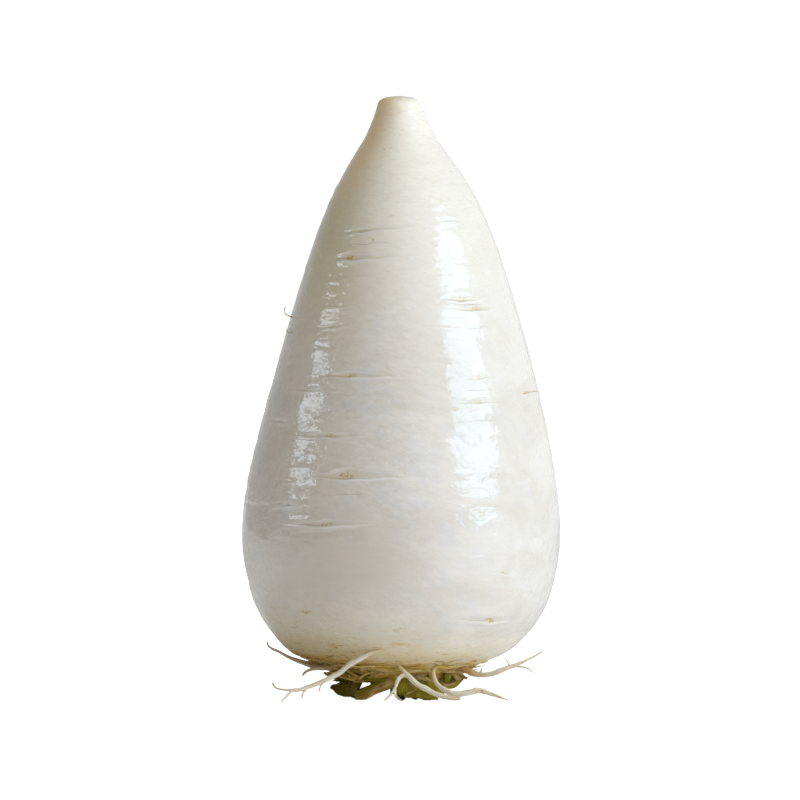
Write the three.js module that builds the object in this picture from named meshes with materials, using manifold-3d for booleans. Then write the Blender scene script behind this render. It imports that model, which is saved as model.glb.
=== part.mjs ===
// A short, teardrop-shaped daikon radish that stands upside down on its cut leaf stalks.
// Millimetres, +Z up. The origin is in the plane of the cut stalks, under the middle of the root.

import * as THREE from 'three';
import { mergeVertices } from 'three/addons/utils/BufferGeometryUtils.js';
import Module from 'manifold-3d';

const wasm = await Module();
wasm.setup();

// Driving dimensions
const greatestRadius = 60;
const greatestRadiusHeight = 59;
const tipHeight = 225.4;
const crownRadius = 25;
const crownHeight = 10.6;
const crownDomeHeight = 6.4;
const gap = 0.3;

// Fineness of the surfaces
const aroundRoot = 56;
const stepsPerOutlinePiece = 2;
const threadRadius = 0.05;
const rootletSides = 8;
const rootletStep = 3.2;
const leastRootletSteps = 3;
const stalkSteps = 5;
const stalkCurveSegments = 5;
const cornersPerHeartLobe = 6;
const weldDistance = 1e-4;

// Finish of each kind of tissue
const skin = { color: 0xe4e1d6, roughness: 0.28, metalness: 0 };
const paleStalk = { color: 0x7d6f35, roughness: 0.6, metalness: 0 };
const darkStalk = { color: 0x463c12, roughness: 0.65, metalness: 0 };
const rootletSkin = { color: 0xd8cfb6, roughness: 0.6, metalness: 0 };

// The outline of the root as [radius, height], in three pieces that meet at sharp edges.
const crownOutline = [
  [0, crownDomeHeight],
  [12, 6.8],
  [20, 7.8],
  [crownRadius, crownHeight],
];
const flankOutline = [
  [crownRadius, crownHeight],
  [40.1, 16.6],
  [48.8, 24.9],
  [54.2, 33.4],
  [57.9, 44.5],
  [greatestRadius, greatestRadiusHeight],
  [59.1, 74],
  [56.6, 89],
  [53.2, 104],
  [49.4, 119],
  [45.5, 134],
  [41, 149],
  [36.3, 164],
  [30.9, 178.7],
  [25.6, 190],
  [20.1, 199.3],
  [13.9, 208.6],
  [10.3, 216.2],
  [8.2, 222.2],
];
const tipOutline = [
  [8.2, 222.2],
  [7.6, 223.3],
  [6.5, 224.2],
  [4.3, 224.9],
  [0, tipHeight],
];

// The axis of the root leans a little: its sideways shift at a few heights.
const axisShift = new THREE.CubicInterpolant(
  [6, 30, 55, 95, 135, 186, 208, 226],
  [-1.2, -0.2, 0, 0.6, 1.2, 0.9, 0, -0.8],
  1,
);

function sampleOutline(gapOutside) {
  const pieces = [crownOutline, flankOutline, tipOutline].map((piece) => {
    const curve = new THREE.SplineCurve(piece.map(([radius, height]) => new THREE.Vector2(radius, height)));
    return curve.getPoints((piece.length - 1) * stepsPerOutlinePiece);
  });
  const outline = [...pieces[0], ...pieces[1].slice(1), ...pieces[2].slice(1)];
  return outline.map((point, index) => {
    const before = outline[Math.max(index - 1, 0)];
    const after = outline[Math.min(index + 1, outline.length - 1)];
    const along = after.clone().sub(before).normalize();
    const onAxis = point.x < weldDistance;
    return new THREE.Vector2(
      onAxis ? 0 : point.x + gapOutside * along.y,
      point.y - gapOutside * along.x,
    );
  });
}

// Turns a closed geometry into a manifold solid.
function toSolid(geometry) {
  geometry.deleteAttribute('normal');
  geometry.deleteAttribute('uv');
  const merged = mergeVertices(geometry, weldDistance);
  const corners = [];
  for (let i = 0; i < merged.index.count; i += 3) {
    const [a, b, c] = [0, 1, 2].map((k) => merged.index.getX(i + k));
    if (a !== b && b !== c && c !== a) corners.push(a, b, c);
  }
  const mesh = new wasm.Mesh({
    numProp: 3,
    vertProperties: new Float32Array(merged.attributes.position.array),
    triVerts: new Uint32Array(corners),
  });
  mesh.merge();
  return new wasm.Manifold(mesh);
}

function toGeometry(solid) {
  const mesh = solid.getMesh();
  const geometry = new THREE.BufferGeometry();
  geometry.setAttribute('position', new THREE.BufferAttribute(mesh.vertProperties, 3));
  geometry.setIndex(new THREE.BufferAttribute(mesh.triVerts, 1));
  geometry.computeVertexNormals();
  return geometry;
}

function moveVertices(geometry, move) {
  const positions = geometry.attributes.position;
  const vertex = new THREE.Vector3();
  for (let i = 0; i < positions.count; i += 1) {
    vertex.fromBufferAttribute(positions, i);
    move(vertex);
    positions.setXYZ(i, vertex.x, vertex.y, vertex.z);
  }
  return geometry;
}

// The root with its crown, grown outwards by a gap where it is used to trim its neighbours.
function rootSolid(gapOutside) {
  const geometry = new THREE.LatheGeometry(sampleOutline(gapOutside), aroundRoot);
  geometry.rotateX(Math.PI / 2);
  moveVertices(geometry, (vertex) => {
    vertex.x += axisShift.evaluate(vertex.z)[0];
  });
  return toSolid(geometry);
}

// A round tube along a curve, thinning evenly from its root to its tip.
function taperedTube({ points, thick, thin }) {
  const curve = new THREE.CatmullRomCurve3(points.map((point) => new THREE.Vector3(...point)));
  const steps = Math.max(leastRootletSteps, Math.round(curve.getLength() / rootletStep));
  const centres = curve.getSpacedPoints(steps);
  const thread = new THREE.Shape().absarc(0, 0, threadRadius, 0, 2 * Math.PI, false);
  const geometry = new THREE.ExtrudeGeometry(thread, {
    steps,
    bevelEnabled: false,
    extrudePath: curve,
    curveSegments: rootletSides / 2,
  });
  moveVertices(geometry, (vertex) => {
    const distances = centres.map((centre) => centre.distanceToSquared(vertex));
    const ring = distances.indexOf(Math.min(...distances));
    const radius = THREE.MathUtils.lerp(thick, thin, ring / steps) / 2;
    vertex.sub(centres[ring]).multiplyScalar(radius / threadRadius).add(centres[ring]);
  });
  return toSolid(geometry);
}

// Points of a stalk's section, sideways as shares of half its width and upwards as shares of its thickness.
const stalkEdge = [1, 0.22];
const stalkBelly = [1, -0.75];
const stalkRim = [0.85, 0.5];
const stalkShoulder = [0.6, 0.36];
const stalkGroove = [0, -0.1];

// The section of a cut leaf stalk: rounded outside, with a shallow groove on the side of the axis.
function stalkSection(width, thickness) {
  const right = ([across, up]) => [(across * width) / 2, up * thickness];
  const left = ([across, up]) => [(-across * width) / 2, up * thickness];
  const section = new THREE.Shape();
  section.moveTo(...left(stalkEdge));
  section.bezierCurveTo(...left(stalkBelly), ...right(stalkBelly), ...right(stalkEdge));
  section.quadraticCurveTo(...right(stalkRim), ...right(stalkShoulder));
  section.quadraticCurveTo(...right(stalkGroove), ...left(stalkShoulder));
  section.quadraticCurveTo(...left(stalkRim), ...left(stalkEdge));
  return section;
}

// A stalk from its place inside the crown down to its cut foot, which stays level.
function stalkSolid({ top, foot, facing, width, thickness, footHeight = 0 }) {
  const length = crownHeight + 1 - footHeight;
  const geometry = new THREE.ExtrudeGeometry(stalkSection(width, thickness), {
    depth: length,
    steps: stalkSteps,
    bevelEnabled: false,
    curveSegments: stalkCurveSegments,
  });
  geometry.rotateZ(THREE.MathUtils.degToRad(facing + 90));
  return toSolid(moveVertices(geometry, (vertex) => {
    const rise = vertex.z / length;
    vertex.x += THREE.MathUtils.lerp(foot[0], top[0], rise);
    vertex.y += THREE.MathUtils.lerp(foot[1], top[1], rise);
    vertex.z += footHeight;
  }));
}

// The heart: young stalks grown together in a lobed bundle and cut level at the foot.
function heartSolid({ centre, radius, lobes, lobeDepth }) {
  const corners = lobes * cornersPerHeartLobe;
  const outline = Array.from({ length: corners }, (_, corner) => {
    const angle = (2 * Math.PI * corner) / corners;
    const reach = radius + lobeDepth * Math.cos(lobes * angle);
    return new THREE.Vector2(centre[0] + reach * Math.cos(angle), centre[1] + reach * Math.sin(angle));
  });
  const section = new THREE.Shape(outline);
  return toSolid(new THREE.ExtrudeGeometry(section, { depth: crownHeight, steps: 1, bevelEnabled: false }));
}

const heart = { name: 'heart_stalks', centre: [2.4, 0], radius: 4.6, lobes: 5, lobeDepth: 0.7 };

// Leaf stalks around the crown. Facing is the direction of the rounded outside, in degrees from +X.
const stalks = [
  {
    name: 'leaf_stalk_front',
    finish: paleStalk,
    top: [0.5, -21],
    foot: [3, -23],
    facing: -85,
    width: 9,
    thickness: 5,
  },
  {
    name: 'leaf_stalk_front_right',
    finish: paleStalk,
    top: [9.5, -18.5],
    foot: [11.8, -20],
    facing: -60,
    width: 8,
    thickness: 5,
  },
  {
    name: 'leaf_stalk_right_short',
    finish: paleStalk,
    top: [18, -12],
    foot: [19, -13.5],
    facing: -38,
    width: 10,
    thickness: 6,
    footHeight: 4.2,
  },
  {
    name: 'leaf_stalk_back_right',
    finish: paleStalk,
    top: [12.5, 14],
    foot: [11.5, 15.5],
    facing: 52,
    width: 10,
    thickness: 5,
  },
  {
    name: 'leaf_stalk_back',
    finish: darkStalk,
    top: [2.5, 18],
    foot: [1.5, 20],
    facing: 86,
    width: 9,
    thickness: 5,
  },
  {
    name: 'leaf_stalk_back_short',
    finish: paleStalk,
    top: [-7.5, 17],
    foot: [-8, 18.5],
    facing: 114,
    width: 8.5,
    thickness: 5,
    footHeight: 2.8,
  },
  {
    name: 'leaf_stalk_back_left',
    finish: darkStalk,
    top: [-17, 8.5],
    foot: [-20.5, 9],
    facing: 155,
    width: 10,
    thickness: 4.5,
  },
  {
    name: 'leaf_stalk_left_curled',
    finish: darkStalk,
    top: [-19.5, -8],
    foot: [-21.6, -5.5],
    facing: 196,
    width: 11,
    thickness: 5,
  },
  {
    name: 'leaf_stalk_front_left',
    finish: paleStalk,
    top: [-4, -21],
    foot: [-15.5, -16.5],
    facing: -118,
    width: 8.6,
    thickness: 5,
  },
];

// Side rootlets that spring from the underside of the root and from the crown, each with its branches.
const rootlets = [
  {
    name: 'rootlet_front_left_long',
    stem: {
      thick: 2.2,
      thin: 0.8,
      points: [
        [-4.6, -44.1, 20.8], [-8.6, -44.6, 20], [-12.6, -43.9, 18.4], [-17.8, -42, 15.5],
        [-24.9, -40.5, 10.3], [-34.1, -41, 6.4], [-38.4, -42, 5], [-45.6, -43, 5.6], [-48, -41, 7.8],
      ],
    },
    branches: [
      { thick: 0.8, thin: 0.6, points: [[-40.4, -42.6, 4.9], [-42.7, -46.5, 2.9], [-44.4, -50.5, 1]] },
      { thick: 0.8, thin: 0.6, points: [[-34.4, -41, 6.2], [-36.6, -42.5, 3.9], [-36.9, -44, 1.8]] },
      { thick: 0.8, thin: 0.6, points: [[-28.6, -40.2, 8.6], [-30.1, -41, 6.4], [-30.7, -42, 4.4]] },
    ],
  },
  {
    name: 'rootlet_left_upper',
    stem: {
      thick: 2,
      thin: 0.8,
      points: [
        [-25, -12, 13.8], [-32.5, -15, 13.1], [-39.8, -16, 15], [-45.9, -15, 17.7], [-49.4, -13.5, 19.6],
        [-50.2, -12, 21.5],
      ],
    },
    branches: [],
  },
  {
    name: 'rootlet_left_small',
    stem: {
      thick: 1.6,
      thin: 0.7,
      points: [[-23.5, -15.5, 11.6], [-31.2, -20, 11.7], [-35, -22.4, 11], [-37, -23.3, 9.2]],
    },
    branches: [],
  },
  {
    name: 'rootlet_front_centre',
    stem: {
      thick: 1.6,
      thin: 2.2,
      points: [
        [-2.2, -34.5, 15.6], [0.9, -34.4, 11.9], [4.3, -34.7, 8.3], [9.3, -36.2, 5], [14.3, -38, 2.9],
        [18.5, -39.2, 2], [22, -40, 1.8],
      ],
    },
    branches: [
      {
        thick: 1.4,
        thin: 0.7,
        points: [
          [1.7, -34.2, 10.6], [-0.9, -34.4, 8.9], [-2.1, -35.4, 6], [-3.8, -37.4, 3.2], [-6.4, -39.6, 1],
        ],
      },
      { thick: 0.9, thin: 0.6, points: [[-2.3, -35.8, 5.2], [-1.9, -37.6, 2.5], [0.8, -40.4, 1]] },
      { thick: 0.7, thin: 0.6, points: [[3, -34.4, 9.2], [4.7, -34, 7], [7.4, -34.6, 5.7]] },
    ],
  },
  {
    name: 'rootlet_front_right',
    stem: {
      thick: 1.9,
      thin: 1.1,
      points: [
        [14.6, -30, 14.2], [12, -32.2, 11.2], [13.8, -33, 6.3], [18.6, -34, 3.5], [24.4, -34.4, 3.5],
        [28.9, -34.7, 4.4], [34, -35.4, 3.2], [39.8, -36.5, 1.2],
      ],
    },
    branches: [],
  },
  {
    name: 'rootlet_right_upper',
    stem: {
      thick: 2,
      thin: 0.7,
      points: [
        [23, -17.5, 11.8], [27.5, -20.8, 9.9], [33.1, -23.4, 9.9], [40, -24.4, 12.4], [47, -24, 15.2],
        [51.4, -23, 17.5],
      ],
    },
    branches: [
      { thick: 0.7, thin: 0.5, points: [[41.2, -24.6, 12.9], [46.5, -25.4, 12.5], [49.9, -27, 10.2]] },
      { thick: 0.7, thin: 0.5, points: [[40.6, -24.4, 12.7], [39.6, -23.8, 15], [37.8, -23, 16.1]] },
    ],
  },
  {
    name: 'rootlet_back_right',
    stem: {
      thick: 1.9,
      thin: 0.7,
      points: [[4, 33, 16], [8.5, 38.6, 12.6], [14, 45, 9.8], [19, 50.5, 8.4], [21.6, 55.5, 10]],
    },
    branches: [
      { thick: 0.9, thin: 0.6, points: [[14, 45, 9.8], [14.6, 49, 7.2], [13.4, 53, 5.2]] },
    ],
  },
  {
    name: 'rootlet_back_left',
    stem: {
      thick: 1.8,
      thin: 0.7,
      points: [[-7, 38, 19.5], [-12.4, 42.6, 14], [-16.4, 46.8, 9], [-18.6, 51.4, 5], [-15.6, 55.6, 3.2]],
    },
    branches: [
      { thick: 0.8, thin: 0.6, points: [[-16.4, 46.8, 9], [-20, 49, 9.6], [-22.4, 52, 11.6]] },
    ],
  },
  {
    name: 'rootlet_back_small',
    stem: {
      thick: 1.3,
      thin: 0.6,
      points: [[14, 27, 13.6], [17, 32.6, 9.4], [15.6, 38, 5.6], [12.2, 42, 3]],
    },
    branches: [],
  },
];

// Fine hairs high on the flank.
const hairs = [
  {
    name: 'hair_left_hooked',
    points: [[-40, -7, 142.4], [-43.1, -5.6, 143.5], [-43.7, -5, 145.4], [-42.8, -5.4, 146.6]],
  },
  {
    name: 'hair_left_low',
    points: [[-38.6, -17, 137], [-42.6, -13, 137], [-43.7, -10, 138.3]],
  },
  {
    name: 'hair_right',
    points: [[44.6, -24, 114.4], [49.2, -20.6, 115.3], [52.4, -17, 114.8]],
  },
];
const hairThickness = 0.8;

const radish = new THREE.Group();

function addPiece(name, finish, solid) {
  const mesh = new THREE.Mesh(toGeometry(solid), new THREE.MeshStandardMaterial(finish));
  mesh.name = name;
  radish.add(mesh);
}

const rootWithClearance = rootSolid(gap);

addPiece('root', skin, rootSolid(0));

for (const { name, finish, ...shape } of stalks) {
  addPiece(name, finish, stalkSolid(shape).subtract(rootWithClearance));
}

addPiece(heart.name, paleStalk, heartSolid(heart).subtract(rootWithClearance));

for (const { name, stem, branches } of rootlets) {
  const whole = branches.reduce((joined, branch) => joined.add(taperedTube(branch)), taperedTube(stem));
  addPiece(name, rootletSkin, whole.subtract(rootWithClearance));
}

for (const { name, points } of hairs) {
  const hair = taperedTube({ points, thick: hairThickness, thin: hairThickness / 2 });
  addPiece(name, rootletSkin, hair.subtract(rootWithClearance));
}

export default radish;
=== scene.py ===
"""The looks of a short daikon radish that stands on its cut leaf stalks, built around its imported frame.

Sizes are in millimetres and are turned into metres where meshes are made. -Y faces the viewer, +Z is up.
"""

import functools
import itertools
import math

import bpy
import numpy as np
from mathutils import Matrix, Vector
from mathutils.kdtree import KDTree


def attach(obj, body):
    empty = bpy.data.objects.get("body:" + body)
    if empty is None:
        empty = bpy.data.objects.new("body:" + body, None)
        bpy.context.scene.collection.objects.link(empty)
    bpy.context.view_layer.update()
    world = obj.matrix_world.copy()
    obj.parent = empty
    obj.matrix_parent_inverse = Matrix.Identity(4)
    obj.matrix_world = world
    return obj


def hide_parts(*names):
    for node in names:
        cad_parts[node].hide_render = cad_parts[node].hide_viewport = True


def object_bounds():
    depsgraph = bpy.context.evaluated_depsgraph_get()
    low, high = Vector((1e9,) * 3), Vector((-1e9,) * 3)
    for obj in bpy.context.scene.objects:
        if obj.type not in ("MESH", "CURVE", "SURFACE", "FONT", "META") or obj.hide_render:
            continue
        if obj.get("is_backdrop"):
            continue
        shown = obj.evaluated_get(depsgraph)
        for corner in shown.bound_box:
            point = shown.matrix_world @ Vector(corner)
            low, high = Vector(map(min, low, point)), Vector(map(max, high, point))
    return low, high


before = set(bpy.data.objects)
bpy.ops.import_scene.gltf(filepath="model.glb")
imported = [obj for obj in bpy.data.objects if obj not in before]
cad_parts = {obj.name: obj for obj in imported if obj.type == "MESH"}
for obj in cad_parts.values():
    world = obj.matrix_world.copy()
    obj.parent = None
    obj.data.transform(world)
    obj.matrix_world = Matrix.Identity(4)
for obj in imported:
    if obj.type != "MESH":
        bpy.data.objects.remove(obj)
cad_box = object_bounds()

MM = 0.001
SEED = 11

# ---- noise and curves


def lattice_noise(points, seed):
    """Smooth noise from -1 to 1 at each row of points, with features about one unit wide."""
    size = 32
    table = np.random.default_rng(seed).uniform(-1, 1, (size, size, size))
    cell = np.floor(points).astype(int)
    part = points - cell
    part = part * part * (3 - 2 * part)
    total = np.zeros(len(points))
    for corner in itertools.product((0, 1), repeat=3):
        weight = np.prod(np.where(corner, part, 1 - part), axis=1)
        index = (cell + corner) % size
        total += weight * table[index[:, 0], index[:, 1], index[:, 2]]
    return total


def fractal_noise(points, size, seed, octaves=3):
    """Noise with features of the given sizes in mm along x, y and z, and finer ones on top."""
    scaled = points / np.array(size, float)
    total = np.zeros(len(points))
    for octave in range(octaves):
        total += lattice_noise(scaled * 2**octave + 7.3 * octave, seed + octave) / 2**octave
    return total


def smooth_step(low, high, value):
    t = np.clip((value - low) / (high - low), 0, 1)
    return t * t * (3 - 2 * t)


def catmull_rom(points, steps_per_piece):
    """Points along a smooth curve through the given ones, in as many dimensions as they have."""
    points = np.array(points, float)
    last = len(points) - 1
    samples = []
    for i in range(last):
        p0, p1, p2, p3 = (points[min(max(i + k, 0), last)] for k in (-1, 0, 1, 2))
        for t in np.arange(steps_per_piece) / steps_per_piece:
            samples.append(
                0.5 * (2 * p1 + (p2 - p0) * t + (2 * p0 - 5 * p1 + 4 * p2 - p3) * t**2
                       + (3 * p1 - p0 - 3 * p2 + p3) * t**3)
            )
    return np.array(samples + [points[last]])


def resample(points, count):
    """The same curve with its points evenly spaced."""
    steps = np.linalg.norm(np.diff(points, axis=0), axis=1)
    along = np.concatenate([[0], np.cumsum(steps)])
    wanted = np.linspace(0, along[-1], count)
    return np.stack([np.interp(wanted, along, points[:, k]) for k in range(points.shape[1])], axis=1)


# ---- meshes and nodes


def make_object(name, vertices_mm, faces, attributes=None):
    """A smooth-shaded mesh object from vertices in mm, with a float attribute per named array."""
    mesh = bpy.data.meshes.new(name)
    mesh.from_pydata((np.asarray(vertices_mm) * MM).tolist(), [], faces)
    mesh.shade_smooth()
    for key, values in (attributes or {}).items():
        layer = mesh.attributes.new(key, "FLOAT", "POINT")
        layer.data.foreach_set("value", np.asarray(values, np.float32))
    mesh.validate()
    piece = bpy.data.objects.new(name, mesh)
    bpy.context.scene.collection.objects.link(piece)
    return piece


def tube(rounds, start, end):
    """Vertices and faces of a closed tube: rings of points, and one more point at each end."""
    rows, columns = len(rounds), len(rounds[0])
    grid = np.arange(rows * columns).reshape(rows, columns)
    after = np.roll(grid, -1, axis=1)
    quads = np.stack([grid[:-1], after[:-1], after[1:], grid[1:]], axis=2).reshape(-1, 4)
    faces = quads.tolist()
    faces += [(b, rows * columns, a) for a, b in zip(grid[0], after[0])]
    faces += [(a, rows * columns + 1, b) for a, b in zip(grid[-1], after[-1])]
    return np.concatenate([np.reshape(rounds, (-1, 3)), [start, end]]), faces


def unit(vectors):
    return vectors / np.linalg.norm(vectors, axis=1)[:, None]


class Shader:
    """Short ways to add nodes to a new material or world. Each returns the output socket that matters."""

    def __init__(self, owner):
        owner.use_nodes = True
        self.owner = owner
        self.tree = owner.node_tree
        self.tree.nodes.clear()
        self.coordinates = self.add("ShaderNodeTexCoord").outputs["Object"]

    def add(self, kind, inputs=(), **settings):
        node = self.tree.nodes.new(kind)
        for key, value in settings.items():
            setattr(node, key, value)
        for key, value in dict(inputs).items():
            if isinstance(value, bpy.types.NodeSocket):
                self.tree.links.new(value, node.inputs[key])
            else:
                node.inputs[key].default_value = value
        return node

    def math(self, operation, a, b=0, clamp=False):
        return self.add("ShaderNodeMath", {0: a, 1: b}, operation=operation, use_clamp=clamp).outputs[0]

    def times(self, *values):
        return functools.reduce(lambda a, b: self.math("MULTIPLY", a, b), values)

    def plus(self, *values):
        return functools.reduce(lambda a, b: self.math("ADD", a, b), values)

    def largest(self, *values):
        return functools.reduce(lambda a, b: self.math("MAXIMUM", a, b), values)

    def minus(self, a, b):
        return self.math("SUBTRACT", a, b)

    def smooth(self, value, low, high, start=0, end=1):
        """Start where the value is low, end where it is high, and a smooth change between them."""
        inputs = {"Value": value, "From Min": low, "From Max": high, "To Min": start, "To Max": end}
        return self.add("ShaderNodeMapRange", inputs, interpolation_type="SMOOTHSTEP").outputs[0]

    def mix(self, factor, a, b):
        node = self.add("ShaderNodeMix", data_type="RGBA")
        for socket, value in zip((node.inputs[0], node.inputs[6], node.inputs[7]), (factor, a, b)):
            if isinstance(value, bpy.types.NodeSocket):
                self.tree.links.new(value, socket)
            else:
                socket.default_value = (*value, 1)
        return node.outputs[2]

    def dot(self, direction, towards):
        return self.add("ShaderNodeVectorMath", {0: direction, 1: towards},
                        operation="DOT_PRODUCT").outputs["Value"]

    def noise(self, scale, detail=3, stretch=(1, 1, 1), roughness=0.5, distortion=0, source=None):
        source = self.coordinates if source is None else source
        vector = self.add("ShaderNodeMapping", {"Vector": source, "Scale": stretch}).outputs[0]
        inputs = {"Vector": vector, "Scale": scale, "Detail": detail, "Roughness": roughness,
                  "Distortion": distortion}
        return self.add("ShaderNodeTexNoise", inputs).outputs["Fac"]

    def fibres(self, around, along, scale):
        """Noise drawn out along a stalk or strand, with this many cells round it and along it."""
        across, along = (self.times(self.attribute(name), cells)
                         for name, cells in (("around", around), ("along", along)))
        spread = self.add("ShaderNodeCombineXYZ", {0: across, 1: along}).outputs[0]
        return self.noise(scale, 4, source=spread)

    def attribute(self, name):
        return self.add("ShaderNodeAttribute", attribute_name=name).outputs["Fac"]

    def bump(self, height, distance_mm, normal=None):
        inputs = {"Height": height, "Distance": distance_mm * MM}
        if normal is not None:
            inputs["Normal"] = normal
        return self.add("ShaderNodeBump", inputs).outputs[0]

    def finish(self, color, roughness, normal, **constants):
        inputs = {"Base Color": color, "Roughness": roughness, "Normal": normal, **constants}
        surface = self.add("ShaderNodeBsdfPrincipled", inputs).outputs[0]
        self.add("ShaderNodeOutputMaterial", {"Surface": surface})
        return self.owner


def new_shader(name):
    return Shader(bpy.data.materials.new(name))


# ---- the root

# The outline as radius and height, in three smooth stretches, and how far the axis strays sideways.
CROWN_OUTLINE = [(0, 6.4), (12, 6.8), (20, 7.8), (25, 10.6)]
FLANK_OUTLINE = [
    (25, 10.6), (40.1, 16.6), (48.8, 24.9), (54.2, 33.4), (57.9, 44.5), (60, 59), (59.1, 74), (56.6, 89),
    (53.2, 104), (49.4, 119), (45.5, 134), (41, 149), (36.3, 164), (30.9, 178.7), (25.6, 190), (20.1, 199.3),
    (13.9, 208.6), (10.3, 216.2), (8.2, 222.2),
]
TIP_OUTLINE = [(8.2, 222.2), (7.6, 223.3), (6.5, 224.2), (4.3, 224.9), (0, 225.4)]
AXIS_HEIGHTS = [6, 30, 55, 95, 135, 186, 208, 226]
AXIS_SHIFTS = [-1.2, -0.2, 0, 0.6, 1.2, 0.9, 0, -0.8]
# The side of the crown with the strongest stain, the shaded left, where part of its strength is painted
# shade.
STAIN_AND_SHADE_SIDE = math.radians(208)
ROOT_ROWS = 468
ROOT_COLUMNS = 210

# Creases and scars of the front: left end as sideways place and height, sideways place of the scar, right
# end, then depth, how tan the scar is, and how far the crease gapes.
FRONT_CREASES = [
    (-7, 180.6, -4, -1, 180.8, 0.16, 0.2, 0.1),
    (-21.6, 174.2, -14.5, 4.2, 177, 0.46, 0.45, 0.45),
    (-24.5, 164.6, -19, 0.5, 166.5, 0.44, 0.95, 1.1),
    (-29.1, 147.5, -22, -15.3, 148.1, 0.22, 0.1, 0.3),
    (-32, 139.6, -25, -16.7, 140.4, 0.26, 0.1, 0.4),
    (13.7, 178.7, 18, 22, 179, 0.2, 0.1, 0.3),
    (13.7, 150, 22.6, 30.9, 150.4, 0.36, 0.35, 0.9),
    (16.3, 147, 28.2, 36.5, 146.2, 0.36, 0.6, 0.8),
    (1.8, 140.9, 13, 24.1, 139.6, 0.22, 0, 0),
    (-29.7, 121.4, -18.9, 2.6, 122.5, 0.4, 0.75, 0.9),
    (-42.9, 116, -36, -28.2, 117, 0.26, 0.2, 0.3),
    (21.8, 121.2, 30, 35.7, 121.2, 0.3, 0.1, 0.5),
    (20, 112.1, 29, 37.9, 112, 0.34, 0.25, 0.6),
    (-50.1, 104.1, -45, -40.2, 104.8, 0.3, 0.35, 0.3),
    (-43.6, 99.9, -26, -11.1, 100.1, 0.34, 0.6, 0.6),
    (11.4, 99.7, 15, 19.2, 97.8, 0.24, 0, 0),
    (-33, 84.6, -20.8, 4.8, 85.5, 0.4, 0.9, 2.1),
    (-49.1, 73.9, -42, -34.5, 74.6, 0.28, 0.3, 0.4),
    (-45.7, 67.1, -27.6, -8.9, 67.8, 0.36, 0.85, 0.9),
    (24.8, 55.7, 28, 32.6, 55.8, 0.2, 0, 0),
    (33, 49.1, 38, 41.9, 48.3, 0.16, 0.5, 0.2),
    (18.8, 31.6, 33, 41.3, 30.8, 0.26, 1, 0.9),
]
BACK_CREASE_COUNT = 24

# Soft tan patches: sideways place on the front, height, width, how tall, and strength.
PATCH_PLACES = [
    (45.4, 114.5, 2.6, 1.2, 0.3),
    (47.7, 102.3, 2.4, 1.2, 0.3),
    (-35.7, 34.2, 3.4, 1, 0.7),
    (0.3, 28.1, 5, 1.4, 0.45),
    (-25.3, 21.3, 3.2, 1.2, 0.8),
    (-10.3, 172.1, 0.4, 0.35, 0.9),
    (-6.2, 205.3, 0.35, 0.3, 1),
    (-3.6, 206, 0.3, 0.3, 0.9),
    (-57.2, 65.2, 0.9, 0.9, 0.5),
    (-47.3, 48.7, 0.9, 0.6, 0.5),
    (-51.8, 57, 0.8, 0.6, 0.5),
    (-1.5, 22.4, 5.5, 1, 0.5),
]


def root_outline():
    """The outline of the root from crown to tip, evenly spaced, as radius and height."""
    crown, flank, tip = (catmull_rom(points, 12) for points in (CROWN_OUTLINE, FLANK_OUTLINE, TIP_OUTLINE))
    return resample(np.concatenate([crown, flank[1:], tip[1:]]), ROOT_ROWS)


def axis_shift(height):
    curve = catmull_rom(np.stack([AXIS_HEIGHTS, AXIS_SHIFTS], axis=1), 8)
    return np.interp(height, curve[:, 0], curve[:, 1])


def radius_at(height):
    flank = catmull_rom(FLANK_OUTLINE, 12)
    return np.interp(height, flank[:, 1], flank[:, 0])


def angle_of_front_point(across, height):
    """The angle round the root, from +X, of a point that the front shows at a sideways place."""
    sine = np.clip((across - axis_shift(height)) / radius_at(height), -0.98, 0.98)
    return -math.pi / 2 + math.asin(sine)


def all_creases():
    """Every crease as middle angle and height, half length, rise, place of the scar, depth, tan and gape."""
    creases = []
    for left, low, scar, right, high, *rest in FRONT_CREASES:
        height = (low + high) / 2
        ends = [angle_of_front_point(place, height) for place in (left, scar, right)]
        middle, half_turn = (ends[0] + ends[2]) / 2, (ends[2] - ends[0]) / 2
        scar_place = (ends[1] - middle) / half_turn
        creases.append((middle, height, half_turn * radius_at(height), high - low, scar_place, *rest))
    draw = np.random.default_rng(SEED)
    for index in range(BACK_CREASE_COUNT):
        angle = math.radians(draw.uniform(12, 168))
        height = 26 + (index + draw.uniform(0.1, 0.9)) * 160 / BACK_CREASE_COUNT
        strength = draw.uniform(0.3, 1)
        creases.append((
            angle, height, draw.uniform(6, 20) * (0.5 + 0.5 * strength), draw.uniform(-1.2, 1.2),
            draw.uniform(-0.5, 0.5), 0.16 + 0.3 * strength, max(0, draw.uniform(-0.4, 1)),
            draw.uniform(0, 1.6) * strength,
        ))
    return creases


def crease_fields(angles, heights, radii):
    """At each vertex: mm above its nearest crease, mm aside of its scar, and its depth, tan and gape."""
    above, aside = np.full(angles.shape, 20.0), np.full(angles.shape, 30.0)
    depth, tan, gape = (np.zeros(angles.shape) for _ in range(3))
    nearest = np.full(angles.shape, 7.0)
    for index, (angle, height, half, rise, scar, deep, tone, open_mm) in enumerate(all_creases()):
        turn = (angles - angle + math.pi) % (2 * math.pi) - math.pi
        u = turn * radii / half
        from_scar = np.where(u > scar, (u - scar) / (1 - scar), (scar - u) / (1 + scar))
        wave = 0.3 * np.sin(2.3 * u + 1.7 * index) + 0.12 * np.sin(9 * u + index)
        v = heights - height - rise / 2 * u - wave
        inside = (from_scar < 1) & (np.abs(v) < nearest)
        nearest[inside] = np.abs(v[inside])
        above[inside] = v[inside]
        aside[inside] = ((u - scar) * half)[inside]
        taper = 1 - from_scar[inside]
        depth[inside] = deep * taper**0.6
        gape[inside] = 1.15 * open_mm * taper**1.4
        tan[inside] = tone
    return above, aside, depth, tan, gape


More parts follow.
